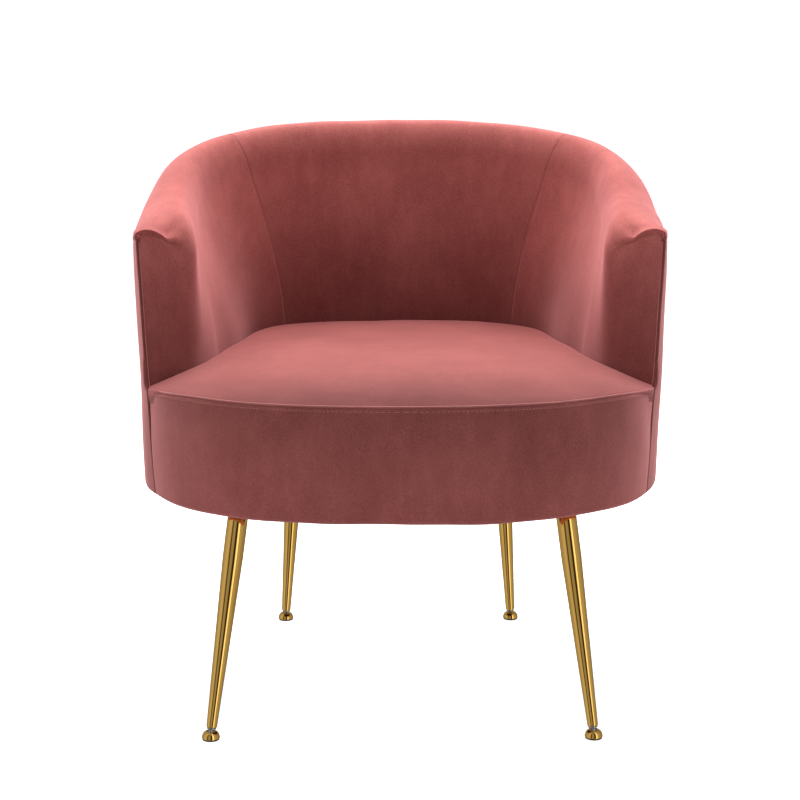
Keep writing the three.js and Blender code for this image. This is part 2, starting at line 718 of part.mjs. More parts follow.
const legLength = (foot, side) => (LEG_END_Z - BALL_Z) / footDirection(foot, side).z;

function lathe(profile, sides = LATHE_SIDES) {
  return new THREE.LatheGeometry(
    profile.map(([radius, z]) => new THREE.Vector2(radius, z)),
    sides,
  ).rotateX(Math.PI / 2);
}

// Room for the leg's bolt through boards and cloth, as a cutter.
function boltRoom(foot, side) {
  const low = legLength(foot, side) - CUT_MARGIN;
  const high = legLength(foot, side) + CUT_MARGIN;
  const radius = BOLT.radius + BOLT.clearance;
  const hole = lathe([[0, low], [radius, low], [radius, high], [0, high]]);
  return [hole, legMatrix(foot, side)];
}

function legTube(foot, side) {
  const top = legLength(foot, side) + LEG_SPARE;
  const capZ = legLength(foot, side) - CAP_THICK - CAP_DROP;
  const taperZ = legLength(foot, side) - LEG_STRAIGHT;
  const tube = lathe([
    [TIP_BORE, TIP_START],
    [LEG_TIP_RADIUS, TIP_START],
    [LEG_TOP_RADIUS, taperZ],
    [LEG_TOP_RADIUS, top],
    [CAP_BORE, top],
    [CAP_BORE, capZ],
    [LEG_TOP_RADIUS - TUBE_WALL, capZ],
    [LEG_TOP_RADIUS - TUBE_WALL, taperZ],
    [LEG_TIP_RADIUS - TIP_WALL, TIP_START + TIP_PLUG],
    [TIP_BORE, TIP_START + TIP_PLUG],
    [TIP_BORE, TIP_START],
  ]);
  const above = new THREE.BoxGeometry(CUT_BOX.width, CUT_BOX.width, CUT_BOX.height);
  const x = side * foot.x * CUT_BOX.share;
  const y = foot.y * CUT_BOX.share;
  const room = new THREE.Matrix4().makeTranslation(x, y, LEG_END_Z + CUT_BOX.height / 2);
  return subtract(tube.applyMatrix4(legMatrix(foot, side)), [above, room]);
}

function addLeg(name, foot, side) {
  const matrix = legMatrix(foot, side);
  addMesh(`leg_${name}`, legTube(foot, side), gold());
  const length = legLength(foot, side);
  const top = new THREE.Vector3(0, 0, length).applyMatrix4(matrix);
  const plate = new THREE.BoxGeometry(PLATE.size, PLATE.size, PLATE.thick);
  plate.rotateZ(side * foot.plateTurn * DEGREE);
  plate.translate(top.x, top.y, PLATE.z + PLATE.thick / 2);
  addMesh(`leg_plate_${name}`, subtract(plate, boltRoom(foot, side)), springSteel());
  const headZ = length - CAP_THICK - CAP_DROP - GAP;
  const bolt = lathe([
    [0, headZ - BOLT.headHeight],
    [BOLT.headRadius, headZ - BOLT.headHeight],
    [BOLT.headRadius, headZ],
    [BOLT.radius, headZ],
    [BOLT.radius, length + BOLT.reach],
    [0, length + BOLT.reach],
  ]);
  addMesh(`leg_bolt_${name}`, bolt, springSteel()).applyMatrix4(matrix);
  addFoot(name, foot, side, matrix);
}

// ---- levelling feet ----
// Profiles are [radius, height], with heights measured from the ball's centre.
const BALL_RADIUS = 4.8;
const SOCKET_RADIUS = 5.1;
const FOOT_SIDES = 16;
const BALL_ARC = { from: -60, to: 58.6, steps: 4 };
const SOCKET_ARC = { from: 36.5, to: 0, steps: 2 };
const STUD_PROFILE = [
  [0, -BALL_RADIUS],
  ...arc(BALL_RADIUS, BALL_ARC),
  [2.5, 5.6], // neck
  [5.9, 6.8], // collar
  [5.9, 8.8],
  [3.4, 8.8], // shank, screwed into the leg
  [3.4, 42],
  [0, 42],
];
const DOME_PROFILE = [
  [SOCKET_RADIUS, -4.9],
  [FOOT_RADIUS, -4.9],
  [FOOT_RADIUS, -3.3],
  [10.4, 0.6],
  [8.2, 3.2],
  [5.8, 4.4],
  [5.2, 4.2],
  ...arc(SOCKET_RADIUS, SOCKET_ARC),
  [SOCKET_RADIUS, -4.9],
];
const PAD_PROFILE = [
  [0, -BALL_Z],
  [10.8, -BALL_Z],
  [10.8, -5.2],
  [0, -5.2],
];

function arc(radius, { from, to, steps }) {
  return evenShares(steps).map((share) => {
    const turn = mix(from, to, share) * DEGREE;
    return [radius * Math.cos(turn), radius * Math.sin(turn)];
  });
}

function addFoot(name, foot, side, matrix) {
  addMesh(`glide_stud_${name}`, lathe(STUD_PROFILE), springSteel()).applyMatrix4(matrix);
  const dome = addMesh(`foot_dome_${name}`, lathe(DOME_PROFILE, FOOT_SIDES), gold());
  const pad = addMesh(`foot_pad_${name}`, lathe(PAD_PROFILE, FOOT_SIDES), blackRubber());
  for (const mesh of [dome, pad]) {
    mesh.position.set(side * foot.x, foot.y, BALL_Z);
  }
}

// The barrel widens upwards: every point above the base moves out in proportion to its height.
function leanSides() {
  const gainPerHeight = SIDE_LEAN.gain / (SIDE_LEAN.z - BASE_Z);
  for (const mesh of chair.children) {
    const positions = mesh.geometry.getAttribute("position");
    for (let i = 0; i < positions.count; i++) {
      const rise = Math.max(0, positions.getZ(i) - BASE_Z);
      positions.setX(i, positions.getX(i) * (1 + gainPerHeight * rise));
    }
  }
}

addInsideCovers();
addOutsideCovers();
addFrame();
addOuterBoards();
addWallFoam();
addApron();
addSeat();
addDeck();
for (const [place, foot] of [["front", FRONT_FOOT], ["rear", REAR_FOOT]]) {
  addLeg(`${place}_right`, foot, 1);
  addLeg(`${place}_left`, foot, -1);
}
leanSides();

export default chair;
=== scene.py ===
import json
import math

import bpy
import numpy as np
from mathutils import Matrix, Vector


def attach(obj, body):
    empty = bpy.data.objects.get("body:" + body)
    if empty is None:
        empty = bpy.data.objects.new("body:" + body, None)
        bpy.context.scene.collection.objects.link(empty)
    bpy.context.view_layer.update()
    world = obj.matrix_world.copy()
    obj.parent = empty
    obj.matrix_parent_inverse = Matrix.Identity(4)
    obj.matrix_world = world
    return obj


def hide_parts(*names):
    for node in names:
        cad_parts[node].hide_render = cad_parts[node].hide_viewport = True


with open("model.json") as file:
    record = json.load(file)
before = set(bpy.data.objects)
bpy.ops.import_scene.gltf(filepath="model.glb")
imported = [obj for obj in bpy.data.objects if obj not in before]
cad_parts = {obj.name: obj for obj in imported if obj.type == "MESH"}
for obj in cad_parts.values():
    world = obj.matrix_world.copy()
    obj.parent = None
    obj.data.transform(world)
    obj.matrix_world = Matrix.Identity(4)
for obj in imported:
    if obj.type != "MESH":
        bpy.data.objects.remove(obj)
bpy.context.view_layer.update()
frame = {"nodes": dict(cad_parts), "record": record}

BODY = "chair"
MM = 0.001
TINY = 1e-9
rng = np.random.default_rng(7)

# ---- the barrel: the CAD part's outline with fuller arms, in millimetres and degrees ----
HALF_WIDTH = 347
HALF_DEPTH = 325
OUTLINE_POWER = 2.5
BACK_MIDDLE = 90
BASE_Z = 291
SEAT_SEAM_Z = 436
SEAT_LEVEL_Z = 450
LEAN_Z, LEAN_GAIN = 620, 0.024
# the fronts of the arms lean from a low point to a high one
FRONT_TOP_Y, FRONT_TOP_Z = -125, 622
FRONT_BOTTOM_Y, FRONT_BOTTOM_Z = -166, 296
# the rim falls from the middle of the back, and dips near the arms' fronts
RIM_BACK_Z = 760
RIM_FALL, RIM_FALL_SPAN = 45, 68
RIM_DIP, RIM_DIP_ANGLE, RIM_DIP_SPREAD = 20, -3, 15
# the padded wall at seat level, and the roll along the rim
WALL_PAD = 58
ARM_PAD, ARM_PAD_ANGLE, ARM_PAD_FRONT_SPREAD, ARM_PAD_REAR_SPREAD = 54, 14, 27, 36
BACK_PAD, BACK_PAD_SPREAD = 26, 20
ROLL_WIDTH = 52
ARM_ROLL, ARM_ROLL_ANGLE, ARM_ROLL_SPREAD = 30, -12, 28
# the arm's front facing: its slope and the softness of its corner, low and high
FACING_SLOPES = (0.33, 0.26)
FACING_REACHES = (44, 34)
FACING_RISE = 150
# the seam between the inside arm and the inside back, low and high
PANEL_SEAM_LOW_Z, PANEL_SEAM_HIGH_Z = 460, 735
PANEL_SEAM_LOW, PANEL_SEAM_HIGH, PANEL_SEAM_BEND = 60.5, 47, 1.6


def smooth(value):
    value = np.clip(value, 0, 1)
    return value * value * (3 - 2 * value)


def mix(a, b, share):
    return a + (b - a) * share


def signed_power(value, power):
    return np.sign(value) * np.abs(value) ** power


def plan_point(angle, inset):
    turn = np.radians(angle)
    x = HALF_WIDTH * signed_power(np.cos(turn), 2 / OUTLINE_POWER)
    y = HALF_DEPTH * signed_power(np.sin(turn), 2 / OUTLINE_POWER)
    nx = signed_power(x / HALF_WIDTH, OUTLINE_POWER - 1) / HALF_WIDTH
    ny = signed_power(y / HALF_DEPTH, OUTLINE_POWER - 1) / HALF_DEPTH
    size = np.hypot(nx, ny)
    return x - inset * nx / size, y - inset * ny / size


def leaned(points):
    """The barrel widens upwards: points above the base move out in proportion to height."""
    points = np.array(points)
    rise = np.maximum(points[..., 2] - BASE_Z, 0) / (LEAN_Z - BASE_Z)
    points[..., 0] *= 1 + LEAN_GAIN * rise
    return points


def angle_at_y(y):
    share = (np.abs(y) / HALF_DEPTH) ** (OUTLINE_POWER / 2)
    return np.degrees(np.sign(y) * np.arcsin(np.clip(share, 0, 1)))


def arm_front_y(z):
    share = (z - FRONT_BOTTOM_Z) / (FRONT_TOP_Z - FRONT_BOTTOM_Z)
    return mix(FRONT_BOTTOM_Y, FRONT_TOP_Y, share)


def front_seam_angle(z):
    return angle_at_y(arm_front_y(np.minimum(z, FRONT_TOP_Z)))


def bell(value, middle, spread):
    return np.exp(-(((value - middle) / spread) ** 2))


def rim_z(angle):
    fall = RIM_FALL * ((BACK_MIDDLE - angle) / RIM_FALL_SPAN) ** 2
    return RIM_BACK_Z - fall - RIM_DIP * bell(angle, RIM_DIP_ANGLE, RIM_DIP_SPREAD)


def smooth_min(a, b, reach):
    return np.maximum(0, -reach * np.log(np.exp(-a / reach) + np.exp(-b / reach)))


def seat_level_thickness(angle):
    spread = np.where(angle < ARM_PAD_ANGLE, ARM_PAD_FRONT_SPREAD, ARM_PAD_REAR_SPREAD)
    arm = ARM_PAD * bell(angle, ARM_PAD_ANGLE, spread)
    return WALL_PAD + arm + BACK_PAD * bell(angle, BACK_MIDDLE, BACK_PAD_SPREAD)


def roll_width(angle):
    return ROLL_WIDTH + ARM_ROLL * bell(angle, ARM_ROLL_ANGLE, ARM_ROLL_SPREAD)


def distance_from_front(angle, z):
    x0, y0 = plan_point(front_seam_angle(np.maximum(z, SEAT_LEVEL_Z)), 0)
    x1, y1 = plan_point(angle, 0)
    return np.hypot(x1 - x0, y1 - y0)


def wall_thickness(angle, z):
    roll_z = rim_z(angle) - ROLL_WIDTH / 2
    rise = smooth((z - SEAT_LEVEL_Z) / (roll_z - SEAT_LEVEL_Z))
    full = mix(seat_level_thickness(angle), roll_width(angle), rise)
    high = np.clip((z - SEAT_LEVEL_Z) / FACING_RISE, 0, 1)
    slope = mix(*FACING_SLOPES, high)
    reach = mix(*FACING_REACHES, high)
    return smooth_min(distance_from_front(angle, z) / slope, full, reach)


def panel_seam_angle(z):
    share = np.clip((z - PANEL_SEAM_LOW_Z) / (PANEL_SEAM_HIGH_Z - PANEL_SEAM_LOW_Z), 0, 1)
    return mix(PANEL_SEAM_LOW, PANEL_SEAM_HIGH, share ** PANEL_SEAM_BEND)


def arm_angle(share, z):
    return mix(front_seam_angle(np.maximum(z, SEAT_LEVEL_Z)), panel_seam_angle(z), share)


def mirrored(angle):
    """The matching angle on the chair's other side."""
    return 2 * BACK_MIDDLE - angle


def back_angle(share, z):
    start = panel_seam_angle(z)
    return mix(start, mirrored(start), share)


def fold(angle):
    """Brings an angle on the left side over to the right side."""
    return np.where(angle > BACK_MIDDLE, mirrored(angle), angle)


# ---- grids of points ----
CLOTH_THICK = 1.6
FINE_EDGE = (0, 0.25, 0.6, 1.1, 1.8, 2.7, 3.8, 5.5, 8)
# a panel's side is folded in below its seam: how far, and along which way
SKIRT_TAIL = 5.0
SKIRT_IN, SKIRT_DOWN = 0.55, 0.83
SKIRT_ROWS = 4
SKIRT_LEAST = 0.5
# stuffed cloth is slightly wavy: a sum of waves of these lengths over a turn
WAVE_COUNT = 9
WAVE_LONG = (26, 60)
WAVE_PHASE = 6.3
WAVE_HEIGHT = 0.28
WAVES = [
    (rng.normal(size=3) / rng.uniform(*WAVE_LONG), rng.uniform(0, WAVE_PHASE))
    for _ in range(WAVE_COUNT)
]


def spaced(length, step, edge=(), far_edge=(), count=None):
    """Places along a line: at the given distances from each end, and evenly between."""
    start = list(edge) or [0]
    stop = [length - d for d in reversed(list(far_edge) or [0])]
    count = count or max(1, round((stop[0] - start[-1]) / step))
    middle = list(np.linspace(start[-1], stop[0], count + 1)[1:-1])
    return np.array(start + middle + stop)


def normals_of(points, outward=True):
    """Unit normals of a wall's grid, away from the chair's middle or towards it."""
    along = np.gradient(points, axis=0)
    across = np.gradient(points, axis=1)
    normal = np.cross(along, across)
    normal = normal / np.maximum(np.linalg.norm(normal, axis=2, keepdims=True), TINY)
    row, column = points.shape[0] // 2, points.shape[1] // 4
    away = np.dot(normal[row, column, :2], points[row, column, :2]) > 0
    return normal if away == outward else -normal


def edge_distance(points, side):
    """Distance along the grid from one of its sides: 0 and 1 are the first axis's ends."""
    axis = side // 2
    steps = np.linalg.norm(np.diff(points, axis=axis), axis=2)
    lead = np.zeros_like(np.take(steps, [0], axis=axis))
    total = np.concatenate([lead, np.cumsum(steps, axis=axis)], axis=axis)
    if side % 2:
        total = np.take(total, [-1], axis=axis) - total
    return total


def dip(distance, radius, depth):
    """A rounded edge: how far a surface goes down near a seam."""
    near = 1 - np.clip(distance / radius, 0, 1)
    return depth * (1 - np.sqrt(1 - near ** 2))


def sewn(points, normals, edges, tail=SKIRT_TAIL):
    """Rolls a panel's sides down into their seams. edges: side -> (radius, depth)."""
    drop = np.zeros(points.shape[:2])
    for side, (radius, depth) in edges.items():
        drop = np.maximum(drop, dip(edge_distance(points, side), radius, depth))
    rolled = points - normals * drop[:, :, None]
    for side in sorted(edges):
        axis, last = side // 2, side % 2
        row = np.take(rolled, [-1 if last else 0], axis=axis)
        toward = np.take(normals, [-1 if last else 0], axis=axis)
        inner_row = -1 - SKIRT_ROWS if last else SKIRT_ROWS
        inward = np.take(rolled, [inner_row], axis=axis) - row
        length = np.linalg.norm(inward, axis=2, keepdims=True)
        inward = inward / np.maximum(length, SKIRT_LEAST)
        skirt = row + (SKIRT_IN * inward - SKIRT_DOWN * toward) * tail
        parts = [rolled, skirt] if last else [skirt, rolled]
        rolled = np.concatenate(parts, axis=axis)
        parts = [normals, toward] if last else [toward, normals]
        normals = np.concatenate(parts, axis=axis)
    return rolled, normals


def mesh_object(name, vertices, faces, material):
    mesh = bpy.data.meshes.new(name)
    mesh.from_pydata((np.asarray(vertices) * MM).tolist(), [], faces)
    mesh.update()
    mesh.polygons.foreach_set("use_smooth", [True] * len(mesh.polygons))
    mesh.materials.append(material)
    piece = bpy.data.objects.new(name, mesh)
    bpy.context.scene.collection.objects.link(piece)
    return piece


def undulation(points):
    """The slight waviness of stuffed cloth, one pattern through space so that seams still meet."""
    total = np.zeros(points.shape[:-1])
    for direction, phase in WAVES:
        total += np.sin(points @ direction + phase)
    return WAVE_HEIGHT * total


def grid_faces(rows, columns, closed=False, start=0):
    """Four-sided faces between the neighbouring rows of a grid."""
    faces = []
    for i in range(rows - 1):
        for j in range(columns if closed else columns - 1):
            a = start + i * columns + j
            b = start + i * columns + (j + 1) % columns
            faces.append((a, b, b + columns, a + columns))
    return faces


def thick_faces(faces, loop, count):
    """Adds the inner side, turned over, and the rim round the loop of edge points."""
    inner = [tuple(count + place for place in reversed(face)) for face in faces]
    rim = [(a, a + count, b + count, b) for a, b in zip(loop, loop[1:] + loop[:1])]
    return faces + inner + rim


def shell(name, points, normals, material):
    """A closed cloth shell from a grid: the outer side, the inner side and the rim between."""
    points = points + normals * undulation(points)[..., None]
    rows, columns = points.shape[:2]
    outer = points.reshape(-1, 3)
    inner = (points - normals * CLOTH_THICK).reshape(-1, 3)
    place = np.arange(rows * columns).reshape(rows, columns)
    loop = [place[0, :-1], place[:-1, -1], place[-1, :0:-1], place[:0:-1, 0]]
    loop = np.concatenate(loop).tolist()
    faces = thick_faces(grid_faces(rows, columns), loop, rows * columns)
    return mesh_object(name, np.concatenate([outer, inner]), faces, material)


def closed_disc(name, points, thickness, material, centre):
    """A round shell from rings that close on a middle point on each side."""
    rows, columns = points.shape[:2]
    outer = points.reshape(-1, 3)
    inner = outer - np.array([0, 0, thickness])
    count = rows * columns
    grid = grid_faces(rows, columns, closed=True)
    faces = thick_faces(grid, list(range(columns)), count)
    last = count - columns
    for j in range(columns):
        a, b = last + j, last + (j + 1) % columns
        faces.append((a, b, 2 * count))
        faces.append((count + b, count + a, 2 * count + 1))
    return mesh_object(name, np.concatenate([outer, inner, centre]), faces, material)


def flip(points, normals):
    """The same grid for the chair's other side."""
    mirror = np.array([-1, 1, 1])
    return (points * mirror)[::-1], (normals * mirror)[::-1]


# ---- materials: noise scales are per metre, and bump depths are in metres ----
EVEN = (1, 1, 1)
SOFT_NOISE = 0.55
PLAIN_STOPS = (0.3, 0.7)
VELVET_STOPS = (0.3, 0.5, 0.7)
CRUSH_STOPS = (0.32, 0.5, 0.7)
ROSE = ((0.145, 0.036, 0.033), (0.21, 0.057, 0.051), (0.295, 0.088, 0.08))
# a lighter copy of the rose for the seam ridges: a painted highlight along the seams
RIDGE_HIGHLIGHT_ROSE = ((0.28, 0.09, 0.085), (0.34, 0.12, 0.11), (0.42, 0.16, 0.15))
NAP = (1, 1, 0.35)
# velvet: crushed areas, brushed strokes and single tufts of pile, one finer than the other
CRUSH_SCALE, CRUSH_STRETCH, CRUSH_DETAIL, CRUSH_ROUGH = 11, (1, 1, 0.8), 6, 0.65
STROKE_SCALE, STROKE_DETAIL, STROKE_SHARE = 60, 4, 0.35
PILE_SCALE, PILE_DETAIL, PILE_SHARE = 520, 2, 0.4
PILE_BUMP = (0.4, 0.0006)
STROKE_BUMP = (0.15, 0.001)
CRUSH_BUMP = (0.15, 0.003)
VELVET_ROUGH = (0.8, 0.98)
VELVET_SPECULAR = 0.1
SHEEN_ROUGH = 0.47
SHEEN_TINT = (1.0, 0.44, 0.44, 1)
# gold plating: a slight change of tone along the leg, and fine polishing marks
GOLD_SHADES = ((0.84, 0.49, 0.11), (0.9, 0.55, 0.15))
WEAR_SCALE, WEAR_STRETCH, WEAR_DETAIL = 60, (1, 1, 0.15), 5
POLISH_SCALE, POLISH_STRETCH, POLISH_DETAIL = 900, (1, 1, 0.05), 2
POLISH_BUMP = (0.03, 0.00005)
GOLD_ROUGH = (0.05, 0.11)
# the plain materials
GRAIN_DETAIL = 6
GRAIN_STRENGTH = 0.3
GRAIN_DEPTH = 0.0005
THREAD_DEPTH = 0.0002
WOOD_STRETCH = (0.2, 1, 1)


def new_material(name):
    material = bpy.data.materials.new(name)
    material.use_nodes = True
    nodes = material.node_tree.nodes
    return material, nodes, material.node_tree.links, nodes["Principled BSDF"]


def object_coordinates(nodes, links, scale):
    place = nodes.new("ShaderNodeTexCoord")
    mapping = nodes.new("ShaderNodeMapping")
    mapping.inputs["Scale"].default_value = scale
    links.new(place.outputs["Object"], mapping.inputs["Vector"])
    return mapping.outputs["Vector"]


def noise(nodes, links, scale, stretch, detail, rough=SOFT_NOISE):
    texture = nodes.new("ShaderNodeTexNoise")
    texture.inputs["Scale"].default_value = scale
    texture.inputs["Detail"].default_value = detail
    texture.inputs["Roughness"].default_value = rough
    links.new(object_coordinates(nodes, links, stretch), texture.inputs["Vector"])
    return texture.outputs["Fac"]


def ramp(nodes, links, value, stops):
    node = nodes.new("ShaderNodeValToRGB")
    elements = node.color_ramp.elements
    for i, (place, colour) in enumerate(stops):
        element = elements[i] if i < 2 else elements.new(place)
        element.position = place
        element.color = (*colour, 1)
    links.new(value, node.inputs["Fac"])
    return node.outputs["Color"]


def blend(nodes, links, a, b, factor):
    node = nodes.new("ShaderNodeMix")
    node.data_type = "RGBA"
    node.inputs["Factor"].default_value = factor
    links.new(a, node.inputs["A"])
    links.new(b, node.inputs["B"])
    return node.outputs["Result"]


def scaled(nodes, links, value, low, high):
    node = nodes.new("ShaderNodeMapRange")
    node.inputs["To Min"].default_value = low
    node.inputs["To Max"].default_value = high
    links.new(value, node.inputs["Value"])
    return node.outputs["Result"]


def bump(nodes, links, shader, heights):
    """Adds bumps one over another: (height socket, strength, depth in metres)."""
    last = None
    for height, strength, depth in heights:
        node = nodes.new("ShaderNodeBump")
        node.inputs["Strength"].default_value = strength
        node.inputs["Distance"].default_value = depth
        links.new(height, node.inputs["Height"])
        if last is not None:
            links.new(last, node.inputs["Normal"])
        last = node.outputs["Normal"]
    links.new(last, shader.inputs["Normal"])


def painted_shade_ramp(nodes, links, colour, axis, places, factors):
    """Painted light and shade: the colour made lighter or darker along an axis of the object, given
    in metres.
    """
    parts = nodes.new("ShaderNodeSeparateXYZ")
    links.new(object_coordinates(nodes, links, EVEN), parts.inputs["Vector"])
    node = nodes.new("ShaderNodeMapRange")
    node.interpolation_type = "SMOOTHSTEP"
    node.inputs["From Min"].default_value = places[0]
    node.inputs["From Max"].default_value = places[1]
    node.inputs["To Min"].default_value = factors[0]
    node.inputs["To Max"].default_value = factors[1]
    links.new(parts.outputs[axis], node.inputs["Value"])
    scale = nodes.new("ShaderNodeVectorMath")
    scale.operation = "SCALE"
    links.new(colour, scale.inputs[0])
    links.new(node.outputs["Result"], scale.inputs["Scale"])
    return scale.outputs["Vector"]


def velvet_material(name, shades, nap, sheen, axis, places, factors):
    material, nodes, links, shader = new_material(name)
    crush = noise(nodes, links, CRUSH_SCALE, CRUSH_STRETCH, CRUSH_DETAIL, CRUSH_ROUGH)
    strokes = noise(nodes, links, STROKE_SCALE, nap, STROKE_DETAIL)
    pile = noise(nodes, links, PILE_SCALE, EVEN, PILE_DETAIL)
    colour = ramp(nodes, links, crush, zip(CRUSH_STOPS, shades))
    brushed = ramp(nodes, links, strokes, zip(VELVET_STOPS, shades))
    colour = blend(nodes, links, colour, brushed, STROKE_SHARE)
    tufts = ramp(nodes, links, pile, zip(VELVET_STOPS, shades))
    colour = blend(nodes, links, colour, tufts, PILE_SHARE)
    # painted light and shade: the colour is scaled along one axis of the object
    colour = painted_shade_ramp(nodes, links, colour, axis, places, factors)
    links.new(colour, shader.inputs["Base Color"])
    links.new(scaled(nodes, links, strokes, *VELVET_ROUGH), shader.inputs["Roughness"])
    shader.inputs["Specular IOR Level"].default_value = VELVET_SPECULAR
    shader.inputs["Sheen Weight"].default_value = sheen
    shader.inputs["Sheen Roughness"].default_value = SHEEN_ROUGH
    shader.inputs["Sheen Tint"].default_value = SHEEN_TINT
    heights = [(pile, *PILE_BUMP), (strokes, *STROKE_BUMP), (crush, *CRUSH_BUMP)]
    bump(nodes, links, shader, heights)
    return material


def gold_material(name):
    material, nodes, links, shader = new_material(name)
    wear = noise(nodes, links, WEAR_SCALE, WEAR_STRETCH, WEAR_DETAIL)
    colour = ramp(nodes, links, wear, zip(PLAIN_STOPS, GOLD_SHADES))
    links.new(colour, shader.inputs["Base Color"])
    shader.inputs["Metallic"].default_value = 1
    polish = noise(nodes, links, POLISH_SCALE, POLISH_STRETCH, POLISH_DETAIL)
    links.new(scaled(nodes, links, polish, *GOLD_ROUGH), shader.inputs["Roughness"])
    bump(nodes, links, shader, [(polish, *POLISH_BUMP)])
    return material


def plain_material(name, shades, scale, rough, stretch=EVEN, metallic=0.0, depth=GRAIN_DEPTH):
    material, nodes, links, shader = new_material(name)
    grain = noise(nodes, links, scale, stretch, GRAIN_DETAIL)
    colour = ramp(nodes, links, grain, zip(PLAIN_STOPS, shades))
    links.new(colour, shader.inputs["Base Color"])
    shader.inputs["Metallic"].default_value = metallic
    links.new(scaled(nodes, links, grain, *rough), shader.inputs["Roughness"])
    bump(nodes, links, shader, [(grain, GRAIN_STRENGTH, depth)])
    return material


# each velvet: shades, nap, sheen, then the axis, the places and the factors of its painted light
# and shade
velvet = velvet_material("velvet", ROSE, NAP, 0.7, "Z", (0, 1), (0.9, 0.9))
# painted light: the inside arms' colour is made lighter towards their tops
velvet_arm = velvet_material("velvet_arm", ROSE, NAP, 0.65, "Z", (0.46, 0.66), (1.0, 1.9))
# painted light and shade: the inside back's colour is made lighter towards its top and darker low
# down
velvet_back = velvet_material("velvet_back", ROSE, NAP, 1.0, "Z", (0.46, 0.74), (0.9, 1.95))
# painted shade: the seat's colour is made darker towards its front
velvet_seat = velvet_material("velvet_seat", ROSE, NAP, 0.7, "Y", (-0.34, -0.14), (0.45, 1.25))
# painted light: the apron's colour is made lighter towards its lower edge
velvet_apron = velvet_material("velvet_apron", ROSE, NAP, 1.0, "Z", (0.3, 0.44), (1.45, 1.2))
# the seam ridges' velvet is lighter than the rest: a painted highlight on a real raised ridge
velvet_ridge_highlight = velvet_material("velvet_ridge_highlight", RIDGE_HIGHLIGHT_ROSE, EVEN, 1.0, "Z", (0, 1), (1, 1))
gold = gold_material("gold")
# each plain material: darker and lighter shade, the grain's scale, roughness, what differs
PLAIN_LOOKS = {
    "thread": ((0.36, 0.13, 0.12), (0.46, 0.19, 0.18), 1500, (0.6, 0.8), {"depth": THREAD_DEPTH}),
    "foam": ((0.75, 0.66, 0.42), (0.87, 0.8, 0.6), 500, (0.9, 1), {}),
    "wood": ((0.42, 0.25, 0.12), (0.66, 0.45, 0.26), 30, (0.6, 0.8), {"stretch": WOOD_STRETCH}),
    "fibreboard": ((0.22, 0.13, 0.06), (0.34, 0.21, 0.11), 300, (0.8, 0.95), {}),
    "black_cloth": ((0.008, 0.008, 0.008), (0.03, 0.03, 0.03), 900, (0.85, 1), {}),
    "steel": ((0.35, 0.36, 0.37), (0.55, 0.56, 0.57), 90, (0.3, 0.5), {"metallic": 1.0}),
    "black_rubber": ((0.01, 0.01, 0.01), (0.03, 0.028, 0.026), 700, (0.6, 0.85), {}),
}
MATERIALS = {"velvet": velvet, "gold": gold}
for look, (dark, light, scale, rough, extra) in PLAIN_LOOKS.items():
    MATERIALS[look] = plain_material(look, (dark, light), scale, rough, **extra)


def dress_cad_nodes():
    for row in frame["record"]["subparts"]:
        node = frame["nodes"][row["node"]]
        node.data.materials.clear()
        node.data.materials.append(MATERIALS[row["material_slot"]])


# ---- inside covers ----
INSIDE_LOW_Z = 385
MIDDLE_Z = 560.0
ARM_STEP, BACK_STEP = 4, 6
ARM_SAMPLES, BACK_SAMPLES = 4000, 2000
RIM_GUESS, RIM_ROUNDS = 700.0, 4
FAR = 1e3
# how far below the rim a cover starts to roll, and where its outer lip ends
ROLL_INNER_DROP = 50
LIP_DROP = 40
FRONT_LIP_DROP = 19
LIP_FALL = np.array([0.4, 0.7, 0.85, 0.93, 0.97, 1])
# the arm's folded front end, which turns into the rolled rim within a short way
FOLD_FLAT, FOLD_SPAN = 4, 42
ARCH_DROP = 8
ARCH_HIGH = 12
ARCH_OUTER_FALL = 4
ARCH_INNER_FALL, ARCH_INNER_SPAN, ARCH_INNER_REACH = 7, 20, 30
CORNER_TIGHT, CORNER_SOFT, CORNER_MOST = 2, 27, 0.4
CORNER_FROM, CORNER_SPAN = 10, 25
ARCH_LIP_RISE = 2
# the rolled rim: its crest and outer drop on the arms and on the back
CREST_FROM, CREST_SPAN = 12, 30
ARM_CREST, BACK_CREST = 0.68, 0.5
ARM_OUTER_DROP, BACK_OUTER_DROP = 39.5, 28
# shares of the way over the rim: up the facing, round its corner, over the top, down to the lip
FACING_END, CORNER_END, TOP_END = 0.30, 0.36, 0.86
CLOSE_FROM, CLOSE_TO = 0.22, 0.38
ROLL_PLACES = np.concatenate(
    [
        np.linspace(0, CLOSE_FROM, 7),
        np.linspace(CLOSE_FROM, CLOSE_TO, 21)[1:],
        np.linspace(CLOSE_TO, TOP_END, 24)[1:],
        np.linspace(TOP_END, 1, 9)[1:],
    ]
)
FACE_ROWS = 55
# the arm's front edge is drawn in behind the outside cover and behind the seat
LIP_TUCK, LIP_TUCK_DROP, LIP_TUCK_SPAN = 3.0, 26, 10
SEAT_TUCK, SEAT_TUCK_Z, SEAT_TUCK_SPAN = 9, 405, 35
TUCK_REACH = 12
# the dimple on each arm runs up and outwards from its middle
PUCKER_X, PUCKER_Y, PUCKER_Z = 290, -112, 606
PUCKER_RUN, PUCKER_RISE = 0.5, 0.86
PUCKER_DEPTH, PUCKER_LONG, PUCKER_WIDE, PUCKER_DEEP = 3.0, 17, 8, 24
# the groove and the proud edge of the fold along the facing's top
RELIEF_Z = 620.0
RELIEF_START, RELIEF_FROM, RELIEF_SPAN = 2.5, 9, 16
GROOVE_DEPTH, GROOVE_PLACE = 1.5, 0.277
PROUD_HEIGHT, PROUD_PLACE = 0.9, 0.335
RELIEF_SPREAD = 0.022
STEADY_ROW = 7
# how each side rolls down into its seam: radius and depth
FRONT_EDGE = (2.5, 0.9)
PANEL_EDGE = (3.2, 1.3)
LIP_EDGE = (3.5, 2.4)
